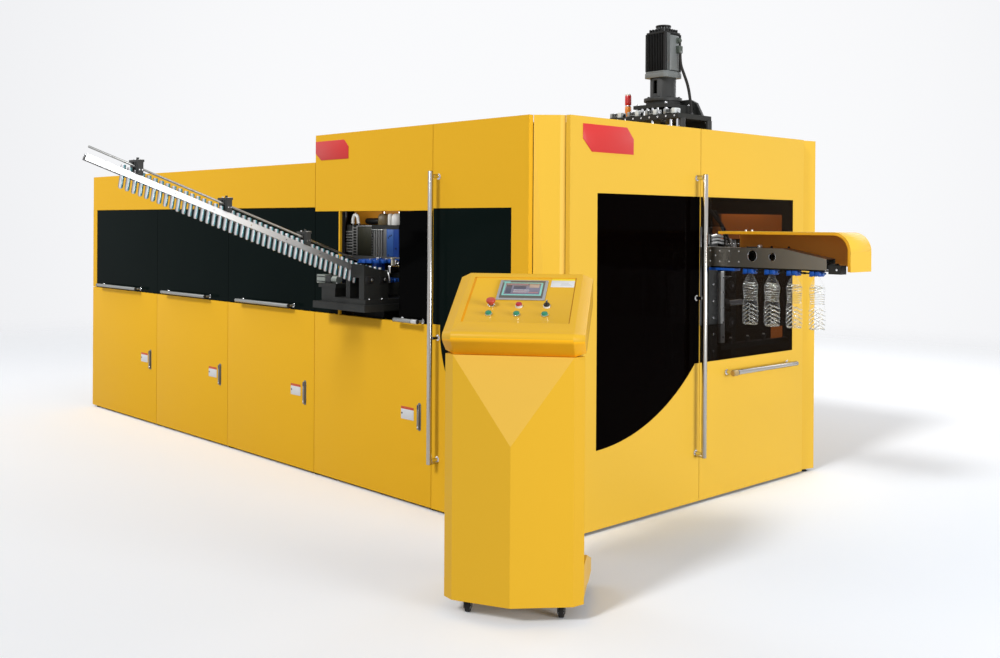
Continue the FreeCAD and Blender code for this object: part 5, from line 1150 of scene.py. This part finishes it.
def beam_fittings():
    """Screws along the beam, the eyes' bushes, and the stop block and nut on its top edge."""
    fit = Shape("beam_fittings", "machine", [pale_steel, chrome, black_cast])
    head = [(0, 0), (5, 0), (5, 1), (3.6, 2.6), (0, 3.2)]
    for x, z in [(x, z) for x in (2345, 2411, 2475, 2540) for z in (1467, 1407)] + [(2382, 1440)]:
        fit.lathe(head, at=(x, BEAM_FACE, z), axis="-y", sides=16)
    for x, z, radius in ((2629, 1443, 32), (2758, 1440, 23)):
        fit.ring((x, BEAM_FACE - 1.2, z), ("y", BEAM_FACE + 8), radius, radius - 3, m=1, sides=48)
    fit.box((2588, 890, 1487), (2650, 912, 1495), m=2, bevel=2)
    fit.rod((2668, 888, 1496), ("y", 916), 10, bevel=2)
    fit.rod((2668, 884, 1496), ("y", 888), 5, m=1)
    for x in (3076, 3140):
        fit.screw((x, 902, 1381), "-y", 6, 4, m=1)
    fit.box((3098, 908, 1404), (3128, 950, 1414), m=2, bevel=3)
    fit.done()


beam_fittings()


def gripper_slide():
    """The slide bar under the beam with its blue jaws, one pair to each bottle's neck."""
    slide = Shape("gripper_slide", "gripper", [black_cast, blue, chrome, rubber, blue_light])
    slide.box((2330, 908, 1369), (3088, 952, 1377), bevel=1.5)
    slide.box((2450, 888.2, 1377), (2800, 971.8, 1400), bevel=2)
    slide.box((2330, 896, 1353), (2500, 964, 1369), m=1, bevel=4, segments=3)
    radius, y = 14.4, BOTTLE_Y
    for x in BOTTLE_X:
        for side, reach in ((-1, 38), (1, 33)):
            jaw = [(2, -30), (reach - 8, -30), (reach, -20), (reach, 20), (reach - 8, 30), (2, 30)]
            start = math.degrees(math.acos(2 / radius))
            jaw += arc(radius, start, -start, 8)
            slide.prism([(x + side * u, y + v) for u, v in jaw], "xy", 1345, 1368.8, m=1, bevel=2.2)
            slide.box((x + side * 17, y - 24, 1341), (x + side * (reach - 5), y + 24, 1346), m=1, bevel=2)
        for turn in (0, 45, 135, 180, 225, 315):
            slide.rod((*polar(17, turn, (x, y)), 1366), ("z", 1372), 4, m=4)
        slide.rod((x + 31, y - 12, 1357), ("x", x + 43), 8, m=1, bevel=2)
        slide.rod((x + 43, y - 12, 1357), ("x", x + 46), 6, m=4, bevel=1)
        slide.rod((x + 31, y + 12, 1357), ("x", x + 44), 6, m=4, bevel=2)
    for left, right in zip(BOTTLE_X, BOTTLE_X[1:]):
        slide.rod((left + 46, y - 12, 1357), ("x", right - 38), 4.5, m=3)
        slide.rod((left + 60, y - 12, 1357), ("x", left + 78), 6.5)
    slide.done(replaces="gripper_bar")


gripper_slide()


BOTTLE_FOOT = 1055.0
BOTTLE_KNOTS = [(0, 36.5), (4, 40.4), (10, 43), (60, 43.4), (102, 43.2), (124, 41), (146, 38.4), (166, 38.6),
                (182, 40.2), (198, 42.6), (210, 43.4), (222, 42), (241, 35.6), (258, 26.4), (270, 19.8),
                (276, 16.6), (283, 14.3), (296, 14.1)]


def bottle_radius(height):
    """Radius of the blown bottle at a height above its foot, before its ribs."""
    for (low, first), (high, last) in zip(BOTTLE_KNOTS, BOTTLE_KNOTS[1:]):
        if height <= high:
            share = max(0.0, (height - low) / (high - low))
            return first + (last - first) * (share * share * (3 - 2 * share) if low >= 60 else share)
    return BOTTLE_KNOTS[-1][1]


def bottle_row():
    """Four thin-walled bottles hung by their necks: waist rings, chevrons below, slanted ribs above."""
    neck = [(14.1, 296), (13.2, 296.8), (13.2, 299), (14.1, 299.8), (14.1, 301.4), (13.2, 302.2),
            (13.2, 304.6), (14.1, 305.4), (14.1, 307), (13.2, 308), (13.2, 313), (11.6, 313), (11.6, 292)]
    wall = [(0, 8), (14, 6), (24, 3), (31, 0.6)] + [(bottle_radius(290 * k / 72), 290 * k / 72)
                                                    for k in range(73)]
    row = Shape("bottle_row", "gripper", [bottle_clear, bottle_line])

    def rib(x, middle, points, radius):
        """A raised line on the wall through (turn in degrees, height) points."""
        line = [(*polar(bottle_radius(height) - 0.2, middle + turn, (x, BOTTLE_Y)), BOTTLE_FOOT + height)
                for turn, height in points]
        row.sweep(line, radius, m=1, sides=8, steps=4)

    def hoop(x, height, half, outer, inner, bevel):
        foot = BOTTLE_FOOT + height
        row.ring((x, BOTTLE_Y, foot - half), ("z", foot + half), outer, inner, m=1, sides=40, bevel=bevel)

    for x in BOTTLE_X:
        row.lathe(wall + neck, at=(x, BOTTLE_Y, BOTTLE_FOOT), sides=56)
        for middle in (-43, 137):
            for k in range(5):
                peak = 30 + 22 * k
                for side in (-1, 1):
                    rib(x, middle, [(0, peak), (side * 22, peak - 13), (side * 44, peak - 26 + 2 * k),
                                    (side * 64, peak - 30 + 3 * k)], 2.1)
            for k in range(3):
                foot = 198 + 15 * k
                rib(x, middle, [(-50, foot - 4), (-20, foot + 5), (12, foot + 9), (38, foot + 8)], 2.0)
        for k in range(5):
            height = 138 + 12.5 * k
            reach = bottle_radius(height) + 0.5
            hoop(x, height, 1.2, reach, reach - 2.2, 0.9)
        for height, reach in ((3, 40.4), (224, 41.6), (289, 16.5)):
            hoop(x, height, 1.6, reach, reach - 3, 1.2)
    row.done(replaces="bottles", smooth=60)


bottle_row()
# The hood's inner faces take the brown-orange copy of the yellow as painted shade.
dress("outfeed_hood", end_lit_yellow,
    (hood_painted_shade, lambda c, n: (n.y < -0.5 and c.y > 1050) or (n.z < -0.5 and c.z > 1500) or
     (n.x < -0.3 and c.x > 3140 and c.x < 3248)))


def hood_fittings():
    """Screws through the hood's back plate and roof, and the lip along its near edge, paler than the hood's
    inside but an orange copy of its yellow as painted shade.
    """
    fit = Shape("hood_fittings", "machine", [black_plastic, pale_steel, lip_painted_shade])
    for x in (2645, 2756):
        fit.rod((x, 1058.4, 1489), ("y", 1059.4), 8.5, bevel=0.2)
    for x in (2478, 2520):
        fit.bolt((x, 1048, 1580), "z", 7, 9, m=1)
    outer, inner = [arc(radius, 90, 0, 15, (3150, 1480)) for radius in (100, 84)]
    lip = [(2432, 1580)] + outer + [(3250, 1375), (3234, 1375)] + inner[::-1] + [(2432, 1564)]
    fit.prism(lip, "xz", 842, 845, m=2, bevel=0.4)
    fit.done()


hood_fittings()

# ---------------------------------------------------------------- console
CONSOLE = Matrix.Translation((2890, -1222, 0)) @ turn_about("Z", 37.7)
DESK = CONSOLE @ Matrix.Translation((0, -62, 1180)) @ turn_about("X", 26.1)
CONTROLS = [(-116, 202), (2, 200), (119, 202), (-116, 128), (1, 128), (118, 128)]


# The column's upward facet takes the lighter copy of the yellow as painted highlight.
dress("console_column", console_shaded_yellow, (chrome, lambda c, n: c.z < 59.9), (facet_painted_highlight, lambda c,
                                                                            n: n.z > 0.1 and 700 < c.z < 1076
                                                                            and c.y < -1000))
def column_skirts():
    """Folded side sheets that join the column's foot to the wedge behind it."""
    skirts = Shape("column_skirts", "console", [console_shaded_yellow], home=CONSOLE)
    for x in (-285, 263):
        skirts.prism([(20, 74), (250, 74), (250, 201), (20, 212)], "yz", x, x + 22)
    skirts.done()


column_skirts()


def desk_shell():
    """The desk: a sloping slab with chamfered cheeks and a recessed panel, on its neck, with collars."""
    to_desk = CONSOLE.inverted() @ DESK
    inner = [(-8, 1077)] + arc(26, 242.3, 92.4, 10, (-60.9, 1154)) + [(375, 1394), (400, 1380), (400, 1262),
                                                                      (42, 1077)]
    outer = [(34, 1089)] + arc(22, 239.5, 90.5, 10, (-21.8, 1150)) + [(384, 1374), (400, 1366), (400, 1262),
                                                                      (66, 1099)]
    shell = bmesh.new()
    rings = [[shell.verts.new((x, y, z)) for y, z in line]
             for x, line in ((-293, outer), (-250, inner), (250, inner), (293, outer))]
    count, top = len(inner), 11
    for left, right in zip(rings, rings[1:]):
        for k in range(count):
            if left is not rings[1] or k != top:
                n = (k + 1) % count
                shell.faces.new((left[k], right[k], right[n], left[n]))
    shell.faces.new(rings[0])
    shell.faces.new(rings[3][::-1])
    recess = ((-225, 70), (225, 70), (225, 452), (-225, 452))
    rim, pan = [[shell.verts.new(to_desk @ Vector((x, y, z))) for x, y in recess] for z in (0, -1.5)]
    edge = [rings[1][top], rings[2][top], rings[2][top + 1], rings[1][top + 1]]
    for k in range(4):
        n = (k + 1) % 4
        shell.faces.new((edge[k], edge[n], rim[n], rim[k]))
        shell.faces.new((rim[k], rim[n], pan[n], pan[k]))
    shell.faces.new(pan)
    bmesh.ops.recalc_face_normals(shell, faces=shell.faces[:])
    soften(shell, [line for line in shell.edges if line.calc_face_angle(0) > 0.42], 1.4, 2)
    head = Shape("desk_shell", "console", [console_shaded_yellow, console_under_painted_light, white_plastic, chrome],
                 home=CONSOLE)
    head.add(shell)
    # Downward faces of the desk's nose take the brighter copy as painted light.
    for face in head.bm.faces:
        if face.normal.z < -0.15 and face.calc_center_median().y < 30:
            face.material_index = 1
    head.prism([(38, 1070), (250, 1070), (250, 1176), (38, 1080)], "yz", -262, 262)
    for number, (x, y) in enumerate(CONTROLS):
        bore = 11.05 if number in (0, 2) else 13.6
        head.ring((x, y, -1.5), ("z", 6), 15, bore, m=2 if 0 < number < 3 else 3, matrix=to_desk)
    head.done(replaces="console_head")


desk_shell()


def desk_boxes(piece, rows):
    """Thin boxes on the desk. A row is material, left, low, right, high, the two heights, and bevel."""
    for m, left, low, right, high, foot, top, bevel in rows:
        piece.box((left, low, foot), (right, high, top), m, bevel)


def desk_trim():
    """Painted shade along the recess's edges, orange on the left and far edges and darker on the right, and
    the notice plate beside the operator panel.
    """
    trim = Shape("desk_trim", "console", [recess_painted_shade, label_white, label_yellow, label_grey, recess_deep_painted_shade],
                 home=DESK)
    desk_boxes(trim, [
        (0, -225, 70, -215, 452, -1.5, -0.8, 0.1), (0, -225, 446, 225, 452, -1.5, -0.8, 0.1),
        (4, 221, 70, 225, 452, -1.5, -0.6, 0.1), (1, 118, 370, 219, 427, -1.5, -0.4, 0.2),
        (2, 118, 427, 219, 444, -1.5, -0.3, 0.2)])
    desk_boxes(trim, [(3, 160, 382 + 11 * k, 210 - 8 * k, 384 + 11 * k, -0.5, -0.35, 0) for k in range(3)])
    trim.done()


desk_trim()


def operator_panel():
    """The operator panel: grey frame, dark inner frame, teal edge and a screen with plain fields."""
    panel = Shape("operator_panel", "console", [bezel_grey, screen_frame, screen_cyan, screen_dark,
                                                screen_field, screen_rose, screen_glow, label_white],
                  home=DESK)
    panel.box((-105, 252, -1.5), (105, 420, 4.4), bevel=3, segments=3)
    desk_boxes(panel, [
        (1, -93, 262, 93, 412, 4, 4.9, 0.4), (2, -85, 284, 85, 396, 4.5, 5.2, 0.3),
        (3, -77, 293, 77, 388, 5, 5.5, 0.3), (4, -72, 300, -48, 372, 5.3, 5.7, 0.1),
        (4, -40, 340, 14, 366, 5.3, 5.7, 0.1), (6, 28, 352, 70, 380, 5.3, 5.62, 0.1),
        (5, 28, 306, 70, 312, 5.3, 5.65, 0.1), (5, -72, 377, 20, 381, 5.3, 5.65, 0.1),
        (2, -92, 396, -60, 404, 4.6, 5.1, 0.2)])
    desk_boxes(panel, [(7 if k % 2 else 5, -38, 304 + 8 * k, 20 + 10 * (k % 2), 307 + 8 * k, 5.3, 5.65, 0.1)
                       for k in range(4)])
    panel.done(replaces="console_hmi")


operator_panel()


def control(name, node, spot, slot, *parts):
    """A control on the desk, on the body of its node's name. A part is a material and its turned profile."""
    piece = Shape(name, node, [material for material, _ in parts], home=DESK)
    for m, (_, profile) in enumerate(parts):
        piece.lathe(profile, m, (*spot, 0), sides=40)
    piece.done(replaces=node)


COLLAR = [(0, 5), (11, 5), (11, 6.3), (12.4, 6.3), (11.6, 9.6), (0, 9.6)]
MUSHROOM = [(0, 11.4), (12.6, 11.4), (13.4, 13), (12.2, 18), (14, 19.5), (18.8, 20.6), (20, 23), (20, 27.5),
            (18.6, 31), (14, 33.2), (7, 33.9), (0, 34)]
RED_CAP = [(0, 9.4), (13.2, 9.4), (13.4, 12.4), (12, 15.8), (8.6, 17), (0, 16.6)]
GREEN_CAP = [(0, 9.4), (13, 9.4), (13.4, 11.6), (12.2, 14.6), (9, 16), (0, 15.6)]
control("stop_mushroom", "emergency_stop", CONTROLS[0], "red_plastic",
        (white_plastic, [(0, 11.2), (11, 11.2), (11, 11.6), (0, 11.6)]), (red_plastic, MUSHROOM))
control("red_push", "red_button", CONTROLS[1], "red_plastic", (white_plastic, COLLAR), (crimson, RED_CAP))
for number in range(1, 4):
    control(f"green_push_{number}", f"green_button_{number}", CONTROLS[2 + number], "green_plastic",
            (green_pale, COLLAR), (green_plastic, GREEN_CAP))


def selector():
    x, y = CONTROLS[2]
    knob = Shape("selector_knob", "selector_switch", [black_plastic, white_plastic], home=DESK)
    knob.lathe([(0, 6.4), (13, 6.4), (13, 12), (11.6, 15), (0, 15.4)], at=(x, y, 0), sides=36)
    knob.lathe([(0, 1), (11, 1), (11, 7), (0, 7)], m=1, at=(x, y, 0))
    knob.prism([(x - 4, y - 13), (x + 4, y - 13), (x + 3.4, y + 12), (x, y + 15), (x - 3.4, y + 12)], "xy",
               14.5, 26, bevel=1.6, segments=3)
    knob.box((x - 0.8, y + 3, 25.8), (x + 0.8, y + 13, 26.1), m=1, bevel=0)
    knob.done(replaces="selector_switch")


selector()


def caster_wheel(shape, x, y):
    """Rubber tyre on a pale hub with its bearing cap, about the console's X axis."""
    tyre = [(15.5, 0.6), (22, 0), (24.2, 1.6), (25, 4.6)]
    hub = [(4.1, 2), (9, 2), (9.6, 4), (14.4, 4), (15.8, 2.2)]
    for profile, m, sides in ((tyre, 0, 48), (hub, 1, 40)):
        far_side = [(radius, 22 - height) for radius, height in profile[::-1]]
        shape.lathe(profile + far_side + profile[:1], m, (x - 11, y, 25), "x", sides)
    for start in (x - 10.4, x + 9):
        shape.ring((start, y, 25), ("x", start + 1.4), 8.4, 4.1, m=2)


dress("caster_fork_left", fork_dark)
dress("caster_fork_right", fork_dark)
for name, body, node, spots in (("wheel_left_tyre", "wheel_left", "caster_wheel_left", [(-195, 51)]),
                                ("wheel_right_tyre", "wheel_right", "caster_wheel_right", [(195, 51)]),
                                ("rear_tyres", "rear_wheels", "caster_wheels_rear",
                                 [(-195, 430), (195, 430)])):
    tyres = Shape(name, body, [rubber, wheel_pale, chrome], home=CONSOLE)
    for spot in spots:
        caster_wheel(tyres, *spot)
    tyres.done(replaces=node)
